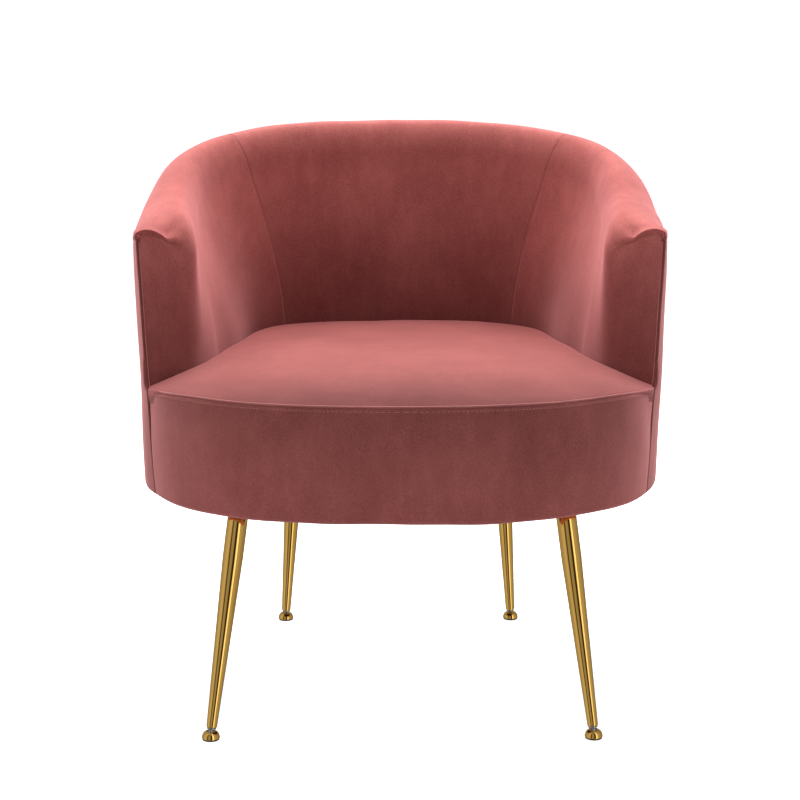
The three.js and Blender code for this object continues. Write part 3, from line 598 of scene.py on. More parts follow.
# the raised line of the panel seams
SEAM_NUDGE = 0.004
SEAM_BELOW_SEAT = 12
SEAM_SINK = 0.9
SEAM_HIGH, SEAM_WIDE = 1.0, 0.8
SEAM_SIDES = 10
STEADY_POINT = 10


def arch_z(rim, inset):
    """Height of the folded front end, which is highest a little way in from the outside."""
    outer = ARCH_OUTER_FALL * (1 - np.clip(inset / ARCH_HIGH, 0, 1)) ** 2
    inside = np.clip(inset - ARCH_HIGH, 0, ARCH_INNER_REACH)
    inner = ARCH_INNER_FALL * (inside / ARCH_INNER_SPAN) ** 2
    return rim - ARCH_DROP - outer - inner


def arch_profile(place, thick, rim, along):
    """The arm's front end: up the facing, round a corner that softens, then over its top."""
    corner = mix(CORNER_TIGHT, CORNER_SOFT, smooth((along - CORNER_FROM) / CORNER_SPAN))
    corner = np.minimum(corner, thick * CORNER_MOST)
    edge_z = arch_z(rim, thick) - corner
    low = rim - ROLL_INNER_DROP
    up = np.clip(place / FACING_END, 0, 1)
    turned_share = np.clip((place - FACING_END) / (CORNER_END - FACING_END), 0, 1)
    over = np.clip((place - CORNER_END) / (TOP_END - CORNER_END), 0, 1)
    down = np.clip((place - TOP_END) / (1 - TOP_END), 0, 1)
    turn = turned_share * np.pi / 2
    inset = thick - corner * (1 - np.cos(turn)) - (thick - corner) * over
    top = arch_z(rim, inset)
    z = np.where(place < CORNER_END, edge_z + (top - edge_z) * np.sin(turn), top)
    z = np.where(place < FACING_END, mix(low, edge_z, up), z)
    lip = rim - FRONT_LIP_DROP + ARCH_LIP_RISE
    z = np.where(place > TOP_END, mix(arch_z(rim, 0), lip, down), z)
    return inset, z


def roll_profile(place, thick, rim, angle):
    """The rolled rim: on the arms its crest is further in, with a slower curve down the outside."""
    turn = np.pi * place
    rear = smooth((angle - CREST_FROM) / CREST_SPAN)
    crest = mix(ARM_CREST, BACK_CREST, rear) * thick
    outer_drop = mix(ARM_OUTER_DROP, BACK_OUTER_DROP, rear)
    inner = crest + (thick - crest) * np.cos(turn)
    outer = crest * (1 + np.cos(turn))
    height = np.where(turn < np.pi / 2, ROLL_INNER_DROP, outer_drop)
    return np.where(turn < np.pi / 2, inner, outer), rim - height * (1 - np.sin(turn))


def wall_section(share, angle_at):
    """Points of one station: up the inner face, over the roll and down to the lip."""
    rim = RIM_GUESS
    for _ in range(RIM_ROUNDS):
        angle = fold(angle_at(share, rim))
        rim = float(rim_z(angle))
    low_z = rim - ROLL_INNER_DROP
    z = np.linspace(INSIDE_LOW_Z, low_z, FACE_ROWS + 1)[:-1]
    angles = angle_at(share, z)
    inset = wall_thickness(fold(angles), z)
    low_angle = fold(angle_at(share, low_z))
    thick = float(wall_thickness(low_angle, low_z))
    along = float(distance_from_front(low_angle, low_z)) if angle_at is arm_angle else FAR
    back = 1 - math.exp(-((max(along - FOLD_FLAT, 0) / FOLD_SPAN) ** 2))
    arch_inset, arch_height = arch_profile(ROLL_PLACES, thick, rim, along)
    roll_inset, roll_height = roll_profile(ROLL_PLACES, thick, rim, float(angle))
    over_inset = mix(arch_inset, roll_inset, back)
    over_z = mix(arch_height, roll_height, back)
    lip_z = rim - mix(FRONT_LIP_DROP, LIP_DROP, back)
    z = np.concatenate([z, over_z, mix(over_z[-1], lip_z, LIP_FALL)])
    inset = np.concatenate([inset, over_inset, np.zeros(len(LIP_FALL))])
    if angle_at is arm_angle:
        below_lip = 1 - smooth((z - rim + LIP_TUCK_DROP) / LIP_TUCK_SPAN)
        below_seat = 1 - smooth((z - SEAT_TUCK_Z) / SEAT_TUCK_SPAN)
        near_front = 1 - smooth(along / TUCK_REACH)
        inset = inset + (LIP_TUCK * below_lip + SEAT_TUCK * below_seat) * near_front
    x, y = plan_point(angle_at(share, z), inset)
    return leaned(np.stack([x, y, z], axis=1))


def surface_length(shares, z, angle_at):
    angles = angle_at(shares, z)
    x, y = plan_point(angles, wall_thickness(fold(angles), z))
    return np.concatenate([[0], np.cumsum(np.hypot(np.diff(x), np.diff(y)))])


def stations(angle_at, step, edge, far_edge):
    """Shares along a panel, spaced by distance over its surface at mid height."""
    dense = np.linspace(0, 1, BACK_SAMPLES)
    if angle_at is arm_angle:
        dense = np.linspace(0, 1, ARM_SAMPLES) ** 2
    lengths = surface_length(dense, MIDDLE_Z, angle_at)
    return np.interp(spaced(lengths[-1], step, edge, far_edge), lengths, dense)


def pucker(points):
    """The dimple where the folded top meets the arm's inner front corner."""
    x = points[..., 0] - PUCKER_X
    y = points[..., 1] - PUCKER_Y
    z = points[..., 2] - PUCKER_Z
    along = PUCKER_RUN * x + PUCKER_RISE * z
    across = PUCKER_RISE * x - PUCKER_RUN * z
    shape = bell(along, 0, PUCKER_LONG) * bell(across, 0, PUCKER_WIDE) * bell(y, 0, PUCKER_DEEP)
    return PUCKER_DEPTH * shape


def fold_relief(shares):
    """The facing is tucked in under the top's folded edge, which stands a little proud."""
    angle = fold(arm_angle(shares, RELIEF_Z))
    along = distance_from_front(angle, RELIEF_Z)
    front = smooth(along / RELIEF_START) * (1 - smooth((along - RELIEF_FROM) / RELIEF_SPAN))
    groove = GROOVE_DEPTH * bell(ROLL_PLACES, GROOVE_PLACE, RELIEF_SPREAD)
    proud = PROUD_HEIGHT * bell(ROLL_PLACES, PROUD_PLACE, RELIEF_SPREAD)
    profile = [np.zeros(FACE_ROWS), proud - groove, np.zeros(len(LIP_FALL))]
    return front[:, None] * np.concatenate(profile)[None, :]


def add_inside_covers():
    arm_shares = stations(arm_angle, ARM_STEP, FINE_EDGE, FINE_EDGE)
    arm = np.array([wall_section(share, arm_angle) for share in arm_shares])
    normals = normals_of(arm, outward=False)
    normals[:STEADY_ROW] = normals[STEADY_ROW]
    relief = fold_relief(arm_shares) - pucker(arm)
    arm = arm + normals * relief[:, :, None]
    edges = {0: FRONT_EDGE, 1: PANEL_EDGE, 3: LIP_EDGE}
    points, normals = sewn(arm, normals, edges)
    pieces = [shell("inside_arm_right", points, normals, velvet_arm)]
    points, normals = flip(points, normals)
    pieces.append(shell("inside_arm_left", points, normals, velvet_arm))
    back_shares = stations(back_angle, BACK_STEP, FINE_EDGE, FINE_EDGE)
    back = np.array([wall_section(share, back_angle) for share in back_shares])
    normals = normals_of(back, outward=False)
    edges = {0: PANEL_EDGE, 1: PANEL_EDGE, 3: LIP_EDGE}
    points, normals = sewn(back, normals, edges)
    pieces.append(shell("inside_back", points, normals, velvet_back))
    stands_for = {
        "inside_arm_right": ("inside_arm_cover_right", "arm_foam_right"),
        "inside_arm_left": ("inside_arm_cover_left", "arm_foam_left"),
        "inside_back": ("inside_back_cover", "back_foam"),
    }
    for piece in pieces:
        finish_piece(piece, "velvet", *stands_for[piece.name])


def add_panel_seams():
    """The raised line of each seam between the inside arm and the inside back."""
    for name, share in (("right", 0.0), ("left", 1.0)):
        line = wall_section(share, back_angle)
        beside = wall_section(abs(share - SEAM_NUDGE), back_angle)
        shown = line[:, 2] > SEAT_LEVEL_Z - SEAM_BELOW_SEAT
        line, beside = line[shown], beside[shown]
        sideways = beside - line
        sideways /= np.linalg.norm(sideways, axis=1, keepdims=True)
        outward = np.cross(sideways, np.gradient(line, axis=0))
        outward /= np.linalg.norm(outward, axis=1, keepdims=True)
        toward_middle = np.sum(outward[STEADY_POINT, :2] * line[STEADY_POINT, :2]) < 0
        outward = outward if toward_middle else -outward
        centre = line - outward * SEAM_SINK + outward * undulation(line)[:, None]
        run = list(zip(centre, outward * SEAM_HIGH, sideways * SEAM_WIDE))
        piece = round_bodies(f"inside_seam_{name}", [run], velvet_ridge_highlight, SEAM_SIDES)
        finish_piece(piece, "velvet")


def finish_piece(piece, slot, *nodes, body=BODY):
    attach(piece, body)
    if nodes:
        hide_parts(*nodes)


# ---- outside covers and apron ----
OUTSIDE_SEAM_ANGLE = 47
OUTSIDE_ARM_LONG, OUTSIDE_BACK_LONG = 470, 580
OUTSIDE_STEP, OUTSIDE_ROW_STEP, OUTSIDE_ROWS = 6, 7, 50
OUTSIDE_Z = 600.0
OUTSIDE_FOLD_FLAT, OUTSIDE_FOLD_SPAN = 10, 55
OUTSIDE_TOP_GAP = 0.6
# the rounded lower edge, then the strip turned in under the frame: inset and height
EDGE_ROUND = 5.5
EDGE_ROUND_ROWS = 8
TURN_UNDER = np.array([(14, 291.4), (17, 293.4), (20, 294.6), (34, 295.2)])
SWELL, SWELL_REACH = 0.8, 45.0
OUTSIDE_FRONT_EDGE = (3.0, 1.6)
OUTSIDE_SEAM_EDGE = (3.5, 2.0)
OUTSIDE_TOP_EDGE = (4.0, 2.6)
OUTSIDE_TAIL = 3.0
# the apron, from the folded seam down: inset and height
APRON_INSETS = np.array(
    [(0, 304), (0, 330), (0.6, 360), (2.0, 396), (2.6, 420), (3.4, 430), (7.0, 436)]
)
APRON_STEP, APRON_ROW_STEP = 6, 5
APRON_TOP_EDGE = (
    0, 0.25, 0.6, 1.1, 1.8, 2.7, 3.8, 4.6, 5.1, 5.4, 5.7, 6.0, 6.3, 6.7, 7.1, 7.6, 8.2, 10,
)
APRON_SWELL, APRON_SWELL_REACH = 1.0, 60
APRON_SIDE_EDGE = (3.0, 1.6)
APRON_SEAM_EDGE = (1.4, 0.9)
# the hem above the stitching stands proud, and the stitching pulls a fine groove
STITCH_Z = SEAT_SEAM_Z - 5.7
HEM_HEIGHT, HEM_OVERLAP, HEM_SPAN = 0.5, 1.6, 1.2
STITCH_GROOVE, STITCH_SPREAD = 0.45, 0.45
# the seat's front seam runs further out and sinks where it meets the arms
SEAM_INSET, SEAM_END_SHIFT, SEAM_END_REACH = 7, 5.5, 70
SEAM_END_SINK, SEAM_SINK_REACH = 6, 130
SINK_FROM_Z, SINK_RISE = 380, 50
# the ridge along that seam, and the topstitching under it
SEAM_LENGTH = 730
RIDGE_ENDS, RIDGE_POINTS, RIDGE_SIDES = 0.006, 260, 12
RIDGE_SINK, RIDGE_OUT, RIDGE_UP = 0.3, 1.7, 1.5
RIDGE_THIN, RIDGE_TAPER = 0.15, 0.035
STITCH_PITCH = 4.2
STITCH_LENGTH = 3.1
STITCH_MARGIN = 8
STITCH_SIZES = (0.12, 0.34, 0.4, 0.34, 0.12)
STITCH_SIDES = 6
STITCH_SINK = 0.25


def outside_arm_angle(share, z):
    return mix(front_seam_angle(z), OUTSIDE_SEAM_ANGLE, share)


def outside_back_angle(share, z):
    return mix(OUTSIDE_SEAM_ANGLE, mirrored(OUTSIDE_SEAM_ANGLE), share) + 0 * z


def turned_under(z, inset):
    """Carries a cover on round the lower edge and in under the frame."""
    turn = np.linspace(0, np.pi / 2, EDGE_ROUND_ROWS + 1)[1:]
    edge_z = BASE_Z + EDGE_ROUND - EDGE_ROUND * np.sin(turn)
    edge_inset = EDGE_ROUND * (1 - np.cos(turn))
    z = np.concatenate([z, edge_z, TURN_UNDER[:, 1]])
    return z, np.concatenate([inset, edge_inset, TURN_UNDER[:, 0]])


def outside_section(share, angle_at):
    """Points of one station of an outside cover: from its top down, and in under the frame."""
    angle = fold(angle_at(share, np.array(OUTSIDE_Z)))
    front = 1.0
    if angle_at is outside_arm_angle:
        along = float(distance_from_front(angle, OUTSIDE_Z))
        front = smooth((along - OUTSIDE_FOLD_FLAT) / OUTSIDE_FOLD_SPAN)
    top = float(rim_z(angle) - mix(FRONT_LIP_DROP, LIP_DROP, front)) - OUTSIDE_TOP_GAP
    tall = top - BASE_Z - EDGE_ROUND
    z = top - spaced(tall, OUTSIDE_ROW_STEP, FINE_EDGE, count=OUTSIDE_ROWS)
    z, inset = turned_under(z, np.zeros_like(z))
    x, y = plan_point(angle_at(share, z), inset)
    return leaned(np.stack([x, y, z], axis=1))


def bulged(points, normals, height, sides, reach=SWELL_REACH):
    """Swells a panel between its seams."""
    swell = np.ones(points.shape[:2])
    for side in sides:
        swell = swell * smooth(edge_distance(points, side) / reach)
    return points + normals * (height * swell)[:, :, None]


def even_shares(length, step):
    return spaced(length, step, FINE_EDGE, FINE_EDGE) / length


def declare_stretched(points):
    """Works out a cover's flat size and its area over its own surface; nothing uses them."""
    along = np.linalg.norm(np.diff(points, axis=0), axis=2)
    across = np.linalg.norm(np.diff(points, axis=1), axis=2)
    flat = np.array([along.sum(axis=0).max(), across.sum(axis=1).max()]) * MM
    one_diagonal = points[1:, 1:] - points[:-1, :-1]
    other_diagonal = points[1:, :-1] - points[:-1, 1:]
    doubled = np.linalg.norm(np.cross(one_diagonal, other_diagonal), axis=2).sum()
    area = doubled / 2 * MM * MM
    area = min(float(area), float(flat[0] * flat[1]))


def add_outside_covers():
    shares = even_shares(OUTSIDE_ARM_LONG, OUTSIDE_STEP)
    arm = np.array([outside_section(share, outside_arm_angle) for share in shares])
    normals = normals_of(arm)
    arm = bulged(arm, normals, SWELL, (0, 1, 2))
    edges = {0: OUTSIDE_FRONT_EDGE, 1: OUTSIDE_SEAM_EDGE, 2: OUTSIDE_TOP_EDGE}
    points, normals = sewn(arm, normals, edges, OUTSIDE_TAIL)
    pieces = [(shell("outside_arm_right", points, normals, velvet), points)]
    points, normals = flip(points, normals)
    pieces.append((shell("outside_arm_left", points, normals, velvet), points))
    shares = even_shares(OUTSIDE_BACK_LONG, OUTSIDE_STEP)
    back = np.array([outside_section(share, outside_back_angle) for share in shares])
    normals = normals_of(back)
    back = bulged(back, normals, SWELL, (0, 1, 2))
    edges = {0: OUTSIDE_SEAM_EDGE, 1: OUTSIDE_SEAM_EDGE, 2: OUTSIDE_TOP_EDGE}
    points, normals = sewn(back, normals, edges)
    pieces.append((shell("outside_back", points, normals, velvet), points))
    stands_for = {
        "outside_arm_right": "outside_arm_cover_right",
        "outside_arm_left": "outside_arm_cover_left",
        "outside_back": "outside_back_cover",
    }
    for piece, points in pieces:
        finish_piece(piece, "velvet", stands_for[piece.name])
        declare_stretched(points)


def apron_angle(share, z):
    end = front_seam_angle(z)
    return mix(-2 * BACK_MIDDLE - end, end, share)


def seam_inset(angle):
    """How far in the front seam runs: less where it meets an arm, but not below -90 degrees."""
    front = front_seam_angle(SEAT_SEAM_Z)
    angle = fold(angle)
    x0, y0 = plan_point(front, 0)
    x1, y1 = plan_point(angle, 0)
    away = np.where(angle < front, np.hypot(x1 - x0, y1 - y0), 0)
    return SEAM_INSET - SEAM_END_SHIFT * (1 - smooth(away / SEAM_END_REACH))


def apron_inset(z, share):
    top = float(seam_inset(apron_angle(share, SEAT_SEAM_Z)))
    return np.minimum(np.interp(z, APRON_INSETS[:, 1], APRON_INSETS[:, 0]), top)


def settled(points):
    """The seat's seam sinks a little towards its ends, where it meets the arms."""
    points = np.array(points)
    end_x, end_y = plan_point(front_seam_angle(SEAT_SEAM_Z), 0)
    away = np.hypot(np.abs(points[..., 0]) - end_x, points[..., 1] - end_y)
    near = 1 - smooth(away / SEAM_SINK_REACH)
    points[..., 2] -= SEAM_END_SINK * near * smooth((points[..., 2] - SINK_FROM_Z) / SINK_RISE)
    return points


def apron_section(share):
    tall = SEAT_SEAM_Z - BASE_Z - EDGE_ROUND
    z = SEAT_SEAM_Z - spaced(tall, APRON_ROW_STEP, APRON_TOP_EDGE)
    hem = HEM_HEIGHT * smooth((z - STITCH_Z + HEM_OVERLAP) / HEM_SPAN)
    hem = hem - STITCH_GROOVE * bell(z, STITCH_Z, STITCH_SPREAD)
    z, inset = turned_under(z, apron_inset(z, share) - hem)
    x, y = plan_point(apron_angle(share, z), inset)
    return settled(leaned(np.stack([x, y, z], axis=1)))


def add_apron():
    shares = even_shares(SEAM_LENGTH, APRON_STEP)
    points = np.array([apron_section(share) for share in shares])
    normals = normals_of(points)
    points = bulged(points, normals, APRON_SWELL, (0, 1, 2), APRON_SWELL_REACH)
    edges = {0: APRON_SIDE_EDGE, 1: APRON_SIDE_EDGE, 2: APRON_SEAM_EDGE}
    points, normals = sewn(points, normals, edges)
    piece = shell("apron", points, normals, velvet_apron)
    finish_piece(piece, "velvet", "apron_cover", "apron_foam")


def seam_point(share, z, inset):
    """A point of the seam, and the point a millimetre further out."""
    angle = apron_angle(share, z)
    points = [leaned(np.array([*plan_point(angle, inset - out), z])) for out in (0, 1)]
    return settled(points)


def round_bodies(name, runs, material, sides):
    """Round bodies in one mesh. runs: lists of rings, each a centre and two half axes."""
    vertices, faces = [], []
    for run in runs:
        start = len(vertices)
        for centre, first_axis, second_axis in run:
            for i in range(sides):
                turn = math.tau * i / sides
                around = first_axis * math.cos(turn) + second_axis * math.sin(turn)
                vertices.append(centre + around)
        faces += grid_faces(len(run), sides, closed=True, start=start)
        last = start + (len(run) - 1) * sides
        faces.append(tuple(start + i for i in reversed(range(sides))))
        faces.append(tuple(last + i for i in range(sides)))
    return mesh_object(name, vertices, faces, material)


def seam_ring(share, z, inset, out, up):
    """A ring of a thin body that lies along the seat's front seam."""
    centre, outer = seam_point(share, z, inset)
    outward = (outer - centre) / np.linalg.norm(outer - centre)
    centre = centre + outward * undulation(centre)
    return centre, outward * out, np.array([0, 0, up])


def add_seam_ridge():
    """The folded ridge along the seat's front seam, thinner towards its ends."""
    ridge = []
    z = SEAT_SEAM_Z - RIDGE_SINK
    for share in np.linspace(RIDGE_ENDS, 1 - RIDGE_ENDS, RIDGE_POINTS):
        inset = float(seam_inset(apron_angle(share, SEAT_SEAM_Z))) - RIDGE_SINK
        taper = mix(RIDGE_THIN, 1, float(smooth(min(share, 1 - share) / RIDGE_TAPER)))
        ridge.append(seam_ring(share, z, inset, RIDGE_OUT * taper, RIDGE_UP * taper))
    piece = round_bodies("seat_seam_ridge", [ridge], velvet_ridge_highlight, RIDGE_SIDES)
    finish_piece(piece, "velvet")


def add_topstitching():
    """The row of stitches under the ridge."""
    runs = []
    for start in np.arange(STITCH_MARGIN, SEAM_LENGTH - STITCH_MARGIN, STITCH_PITCH):
        places = start + STITCH_LENGTH * np.linspace(0, 1, len(STITCH_SIZES))
        shares = places / SEAM_LENGTH
        inset = float(apron_inset(STITCH_Z, shares[len(shares) // 2])) - STITCH_SINK
        rings = zip(shares, STITCH_SIZES)
        runs.append([seam_ring(share, STITCH_Z, inset, size, size) for share, size in rings])
    piece = round_bodies("seat_topstitching", runs, MATERIALS["thread"], STITCH_SIDES)
    finish_piece(piece, "velvet")


# ---- seat ----
SEAT_CROWN, SEAT_CROWN_POWER = 33, 1.3
SEAT_FRONT_DEPTH, SEAT_REAR_DEPTH = 318, 600
SEAT_SPOKES = 360
SEAT_START_ANGLE = -90
SEAT_REACH, SEAT_STEP = 300, 7
SEAT_EDGE = (0, 0.3, 0.8, 1.5, 2.4, 3.5, 5, 7, 9, 12, 16, 20)
SEAT_SEAM_GAP, SEAT_WALL_GAP = 0.2, 0.6
# the edge rolls down: a little at the front seam, and deeply where it meets the padded wall
SEAT_SEAM_EDGE = (3.0, 1.6)
SEAT_WALL_EDGE = (26, 13)
AT_WALL_FROM, AT_WALL_SPAN = 6, 20
SEAT_SKIRT = 14.0
SEAT_WAVE_REACH = 30


def seat_z(x, y):
    depth = np.where(y < 0, SEAT_FRONT_DEPTH, SEAT_REAR_DEPTH)
    away = np.abs(x / HALF_WIDTH) ** OUTLINE_POWER + np.abs(y / depth) ** OUTLINE_POWER
    return SEAT_SEAM_Z + SEAT_CROWN * (1 - np.minimum(1, away) ** SEAT_CROWN_POWER)


def seat_rings(x, y):
    """Rings of the seat's top, from its edge inwards, and each ring's share of the way out."""
    shares = 1 - spaced(SEAT_REACH, SEAT_STEP, SEAT_EDGE)[:-1] / SEAT_REACH
    rings = [np.stack([x * s, y * s, seat_z(x * s, y * s)], axis=1) for s in shares]
    return np.array(rings), shares


def add_seat():
    angle = SEAT_START_ANGLE + 360 * np.arange(SEAT_SPOKES) / SEAT_SPOKES
    right = fold(angle)
    level = float(SEAT_LEVEL_Z)
    wall = np.where(right > front_seam_angle(level), wall_thickness(right, level), 0)
    inset = np.maximum(seam_inset(angle) + SEAT_SEAM_GAP, wall + SEAT_WALL_GAP)
    x, y = plan_point(angle, inset)
    points, shares = seat_rings(x, y)
    gap = (1 - shares)[:, None] * np.hypot(x, y)[None, :]
    at_wall = smooth((wall - AT_WALL_FROM) / AT_WALL_SPAN)[None, :]
    points[..., 2] -= mix(dip(gap, *SEAT_SEAM_EDGE), dip(gap, *SEAT_WALL_EDGE), at_wall)
    skirt = points[:1] - np.array([0, 0, SEAT_SKIRT])
    points = settled(leaned(np.concatenate([skirt, points])))
    inside = smooth(np.concatenate([gap[:1], gap]) / SEAT_WAVE_REACH)
    points[..., 2] += undulation(points) * inside
    middle = float(seat_z(0.0, 0.0))
    middle += undulation(np.array([0, 0, middle]))
    centre = np.array([[0, 0, middle], [0, 0, middle - CLOTH_THICK]])
    piece = closed_disc("seat_pad", points, CLOTH_THICK, velvet_seat, centre)
    finish_piece(piece, "velvet", "seat_cover", "seat_foam")


# ---- legs and feet ----
BALL_Z = 7
LEG_END_Z = 292
UPRIGHT = Vector((0, 0, 1))
ROUND_SIDES, STUD_SIDES = 64, 48
LEG_TIP = [(4.6, 9.2), (6.2, 9.2), (6.7, 9.6), (6.85, 10.4)]
LEG_RADIUS = 13
LEG_STRAIGHT = 62
LEG_RINGS = 23
LEG_TOP_RADIUS = 12.4
LEG_TOP_ROUND = 1
# profiles of one foot, as radius and height from the middle of its ball
DOME_PROFILE = [
    (5.4, -4.9), (11.2, -4.9), (11.5, -4.5), (11.5, -3.2), (11.2, -2.4), (10.9, -1.0),
    (10.2, 0.8), (9.2, 2.3), (8.0, 3.3), (6.6, 4.1), (5.8, 4.4), (5.3, 4.2), (5.2, 3.4),
]
STUD_PROFILE = [
    (2.4, -4.2), (4.2, -2.4), (4.8, 0), (4.2, 2.4), (3.0, 3.8), (2.5, 5.6), (2.7, 6.3),
    (5.6, 6.8), (5.9, 7.1), (5.9, 8.5), (5.6, 8.8), (3.4, 8.8), (3.4, 42),
]
PAD_PROFILE = [(10.2, -7), (10.8, -6.6), (10.8, -5.5), (10.4, -5.2)]
# where each foot's ball is, and how far its leg leans across and along the chair, in degrees
FEET = {
    "front_right": (243, -275, 7.5, 6.5),
    "front_left": (-243, -275, 7.5, 6.5),
    "rear_right": (173, 245, 4.1, 9.0),
    "rear_left": (-173, 245, 4.1, 9.0),
}


def leg_direction(x, y, lean_x, lean_y):
    dx = -math.copysign(math.tan(math.radians(lean_x)), x)
    dy = -math.copysign(math.tan(math.radians(lean_y)), y)
    return Vector((dx, dy, 1)).normalized()


def turned(name, profile, sides, material, origin, direction):
    """A body of revolution round the given direction, from pairs of radius and height."""
    turn = UPRIGHT.rotation_difference(direction)
    side, front, up = (np.array(turn @ Vector(axis)) for axis in np.eye(3))
    rings = [(origin + up * height, side * radius, front * radius) for radius, height in profile]
    return round_bodies(name, [rings], material, sides)


def leg_profile(direction):
    """The tapered leg: a small rounded tip, a long taper and a straight top."""
    length = (LEG_END_Z - BALL_Z) / direction.z
    tip_radius, tip_height = LEG_TIP[-1]
    taper_height = length - LEG_STRAIGHT
    taper = [
        (mix(tip_radius, LEG_RADIUS, share), mix(tip_height, taper_height, share))
        for share in np.linspace(0, 1, LEG_RINGS + 1)[1:]
    ]
    top = [(LEG_RADIUS, length - LEG_TOP_ROUND), (LEG_TOP_RADIUS, length)]
    return LEG_TIP + taper + top


def add_legs():
    steel, rubber = MATERIALS["steel"], MATERIALS["black_rubber"]
    for name, (x, y, lean_x, lean_y) in FEET.items():
        direction = leg_direction(x, y, lean_x, lean_y)
        origin = np.array([x, y, BALL_Z])
        profile = leg_profile(direction)
        leg = turned(f"tapered_leg_{name}", profile, ROUND_SIDES, gold, origin, direction)
        finish_piece(leg, "gold", f"leg_{name}")
        foot = f"foot_{name}"
        dome = turned(f"foot_cap_{name}", DOME_PROFILE, ROUND_SIDES, gold, origin, UPRIGHT)
        finish_piece(dome, "gold", f"foot_dome_{name}", body=foot)
        stud = turned(f"glide_screw_{name}", STUD_PROFILE, STUD_SIDES, steel, origin, direction)
        finish_piece(stud, "steel", f"glide_stud_{name}", body=f"glide_{name}")
        pad = turned(f"foot_sole_{name}", PAD_PROFILE, ROUND_SIDES, rubber, origin, UPRIGHT)
        finish_piece(pad, "black_rubber", f"foot_pad_{name}", body=foot)


# ---- linings ----
LINING_THICK = 0.6
LINING_POINTS = 240
LINING_RINGS = np.array([1, 0.985, 0.96, 0.9, 0.8, 0.65, 0.5, 0.3, 0.1])
STAPLES = 60
STAPLE_PUCKER, STAPLE_REACH = 0.25, 0.03
DUST_COVER_INSET, DUST_COVER_Z = 17, 296.4
DECK_CLOTH_INSET, DECK_CLOTH_Z = 31, 373.4


def add_cloth_disc(name, node, inset, z):
    """A sheet of black lining cloth stapled all round under the seat."""
    angles = np.linspace(0, 360, LINING_POINTS, endpoint=False)
    x, y = plan_point(angles, inset)
    edge = leaned(np.stack([x, y, z + 0 * x], axis=1))
    points = edge[None] * LINING_RINGS[:, None, None]
    waves = np.sin(STAPLES * np.radians(angles))[None, :]
    puckers = STAPLE_PUCKER * waves * bell(LINING_RINGS[:, None], 1, STAPLE_REACH)
    points[..., 2] = z + puckers
    centre = np.array([[0, 0, z], [0, 0, z - LINING_THICK]], dtype=float)
    piece = closed_disc(name, points, LINING_THICK, MATERIALS["black_cloth"], centre)
    finish_piece(piece, "black_cloth", node)


# ---- stage: places in metres, powers in watts ----
WHITE = (1, 1, 1)
WORLD_LIGHT = 0.33
SEEN_WHITE = 1.1
# what polished metal mirrors: turn round the chair as a share, and brightness
MIRRORED_BANDS = [
    (0.0, 0.35), (0.2, 0.4), (0.3, 0.62), (0.36, 0.58), (0.385, 0.07), (0.41, 0.08), (0.43, 0.4),
    (0.495, 0.34), (0.515, 0.03), (0.565, 0.03), (0.585, 1.7), (0.615, 1.7), (0.63, 0.55),
    (0.75, 0.4), (0.85, 0.25), (1.0, 0.35),
]
FLOOR_GREYS = ((0.6, 0.6, 0.6), (0.63, 0.63, 0.63))
FLOOR_NOISE, FLOOR_DETAIL = 3, 2
FLOOR_ROUGH = 0.9
FLOOR_GLOW = 0.9
FLOOR_REACH = 30000
FLOOR_Z = -0.4
SIDE_AIM = (0, 0, 0.4)
# name: place, target, width and height, power
LIGHTS = {
    "top_light": ((0, 1.0, 2.9), (0, 0, 0.5), (3.8, 2.6), 210),
    "front_light": ((-1.2, -3.2, 2.4), SIDE_AIM, (2.2, 2.2), 14),
    "side_light_left": ((-3.0, -0.4, 1.2), SIDE_AIM, (1.0, 2.2), 5),
    "side_light_right": ((3.0, -0.4, 1.2), SIDE_AIM, (1.0, 2.2), 5),
}
CAMERA_DISTANCE = 2.549
CAMERA_HEIGHT = 0.848
CAMERA_TURN = math.radians(-0.65)
CAMERA_PITCH = math.radians(90 - 10.25)
CAMERA_LENS = 84.645
CAMERA_SENSOR = 36


def background(nodes, strength):
    node = nodes.new("ShaderNodeBackground")
    node.inputs["Color"].default_value = (*WHITE, 1)
    node.inputs["Strength"].default_value = strength
    return node


def studio_world():
    """Soft white all round; polished metal also mirrors the studio's dark and bright panels."""
    world = bpy.data.worlds.new("studio")
    world.use_nodes = True
    bpy.context.scene.world = world
    nodes, links = world.node_tree.nodes, world.node_tree.links
    soft = nodes["Background"]
    soft.inputs["Color"].default_value = (*WHITE, 1)
    soft.inputs["Strength"].default_value = WORLD_LIGHT
    white = background(nodes, SEEN_WHITE)
    panels = background(nodes, 1.0)
    place = nodes.new("ShaderNodeTexCoord")
    parts = nodes.new("ShaderNodeSeparateXYZ")
    links.new(place.outputs["Generated"], parts.inputs["Vector"])
    ahead = math_node(nodes, links, "MULTIPLY", parts.outputs["Y"], -1.0)
    around = math_node(nodes, links, "ARCTAN2", parts.outputs["X"], ahead)
    share = math_node(nodes, links, "MULTIPLY_ADD", around, 1 / math.tau, 0.5)
    bands = ramp(nodes, links, share, [(at, (level,) * 3) for at, level in MIRRORED_BANDS])
    links.new(bands, panels.inputs["Color"])
    path = nodes.new("ShaderNodeLightPath")
    seen = mixed(nodes, links, path.outputs["Is Glossy Ray"], soft, panels)
    whole = mixed(nodes, links, path.outputs["Is Camera Ray"], seen, white)
    links.new(whole.outputs["Shader"], nodes["World Output"].inputs["Surface"])


def math_node(nodes, links, operation, *values):
    node = nodes.new("ShaderNodeMath")
    node.operation = operation
    for i, value in enumerate(values):
        if isinstance(value, bpy.types.NodeSocket):
            links.new(value, node.inputs[i])
        else:
            node.inputs[i].default_value = value
    return node.outputs["Value"]


def mixed(nodes, links, factor, a, b):
    node = nodes.new("ShaderNodeMixShader")
    links.new(factor, node.inputs["Fac"])
    links.new(a.outputs[0], node.inputs[1])
    links.new(b.outputs[0], node.inputs[2])
    return node


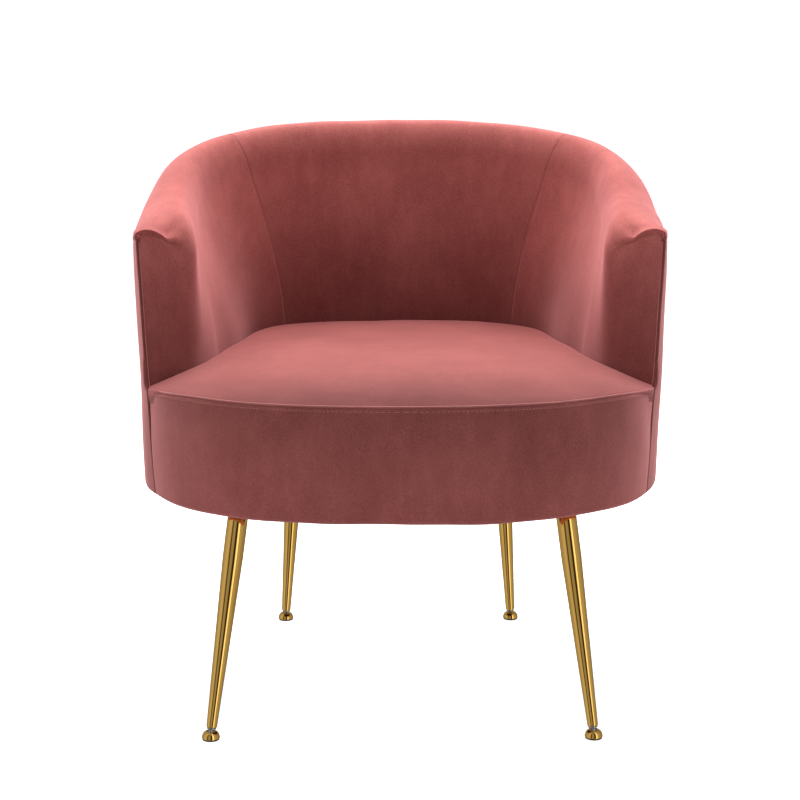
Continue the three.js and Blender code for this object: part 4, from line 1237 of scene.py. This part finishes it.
def area_light(name, place, target, size, power):
    data = bpy.data.lights.new(name, "AREA")
    data.shape = "RECTANGLE"
    data.size, data.size_y = size
    data.energy = power
    light = bpy.data.objects.new(name, data)
    light.location = place
    light.rotation_euler = (Vector(target) - Vector(place)).to_track_quat("-Z", "Y").to_euler()
    light.visible_glossy = False
    bpy.context.scene.collection.objects.link(light)


def floor_material():
    """Pale floor: plain to the light, and near white to the eye, as in a cut-out."""
    material, nodes, links, shader = new_material("floor")
    grain = noise(nodes, links, FLOOR_NOISE, EVEN, FLOOR_DETAIL)
    colour = ramp(nodes, links, grain, zip(PLAIN_STOPS, FLOOR_GREYS))
    links.new(colour, shader.inputs["Base Color"])
    shader.inputs["Roughness"].default_value = FLOOR_ROUGH
    shader.inputs["Specular IOR Level"].default_value = 0
    glow = nodes.new("ShaderNodeEmission")
    glow.inputs["Strength"].default_value = FLOOR_GLOW
    both = nodes.new("ShaderNodeAddShader")
    links.new(shader.outputs["BSDF"], both.inputs[0])
    links.new(glow.outputs["Emission"], both.inputs[1])
    path = nodes.new("ShaderNodeLightPath")
    seen = mixed(nodes, links, path.outputs["Is Camera Ray"], shader, both)
    links.new(seen.outputs["Shader"], nodes["Material Output"].inputs["Surface"])
    return material


def add_stage():
    reach = FLOOR_REACH
    corners = [(-reach, -reach), (reach, -reach), (reach, reach), (-reach, reach)]
    corners = [(x, y, FLOOR_Z) for x, y in corners]
    floor = mesh_object("floor", corners, [(0, 1, 2, 3)], floor_material())
    floor.visible_glossy = False
    studio_world()
    for name, (place, target, size, power) in LIGHTS.items():
        area_light(name, place, target, size, power)


def add_camera():
    data = bpy.data.cameras.new("camera")
    data.sensor_width = CAMERA_SENSOR
    data.lens = CAMERA_LENS
    camera = bpy.data.objects.new("camera", data)
    x = CAMERA_DISTANCE * math.sin(CAMERA_TURN)
    y = -CAMERA_DISTANCE * math.cos(CAMERA_TURN)
    camera.location = (x, y, CAMERA_HEIGHT)
    camera.rotation_euler = (CAMERA_PITCH, 0, CAMERA_TURN)
    bpy.context.scene.collection.objects.link(camera)
    bpy.context.scene.camera = camera


add_camera()
add_stage()
dress_cad_nodes()
add_inside_covers()
add_panel_seams()
add_outside_covers()
add_apron()
add_seat()
add_seam_ridge()
add_topstitching()
add_legs()
add_cloth_disc("stretched_dust_cover", "dust_cover", DUST_COVER_INSET, DUST_COVER_Z)
add_cloth_disc("stretched_deck_cloth", "deck_cloth", DECK_CLOTH_INSET, DECK_CLOTH_Z)
bpy.context.scene.view_settings.view_transform = "Standard"
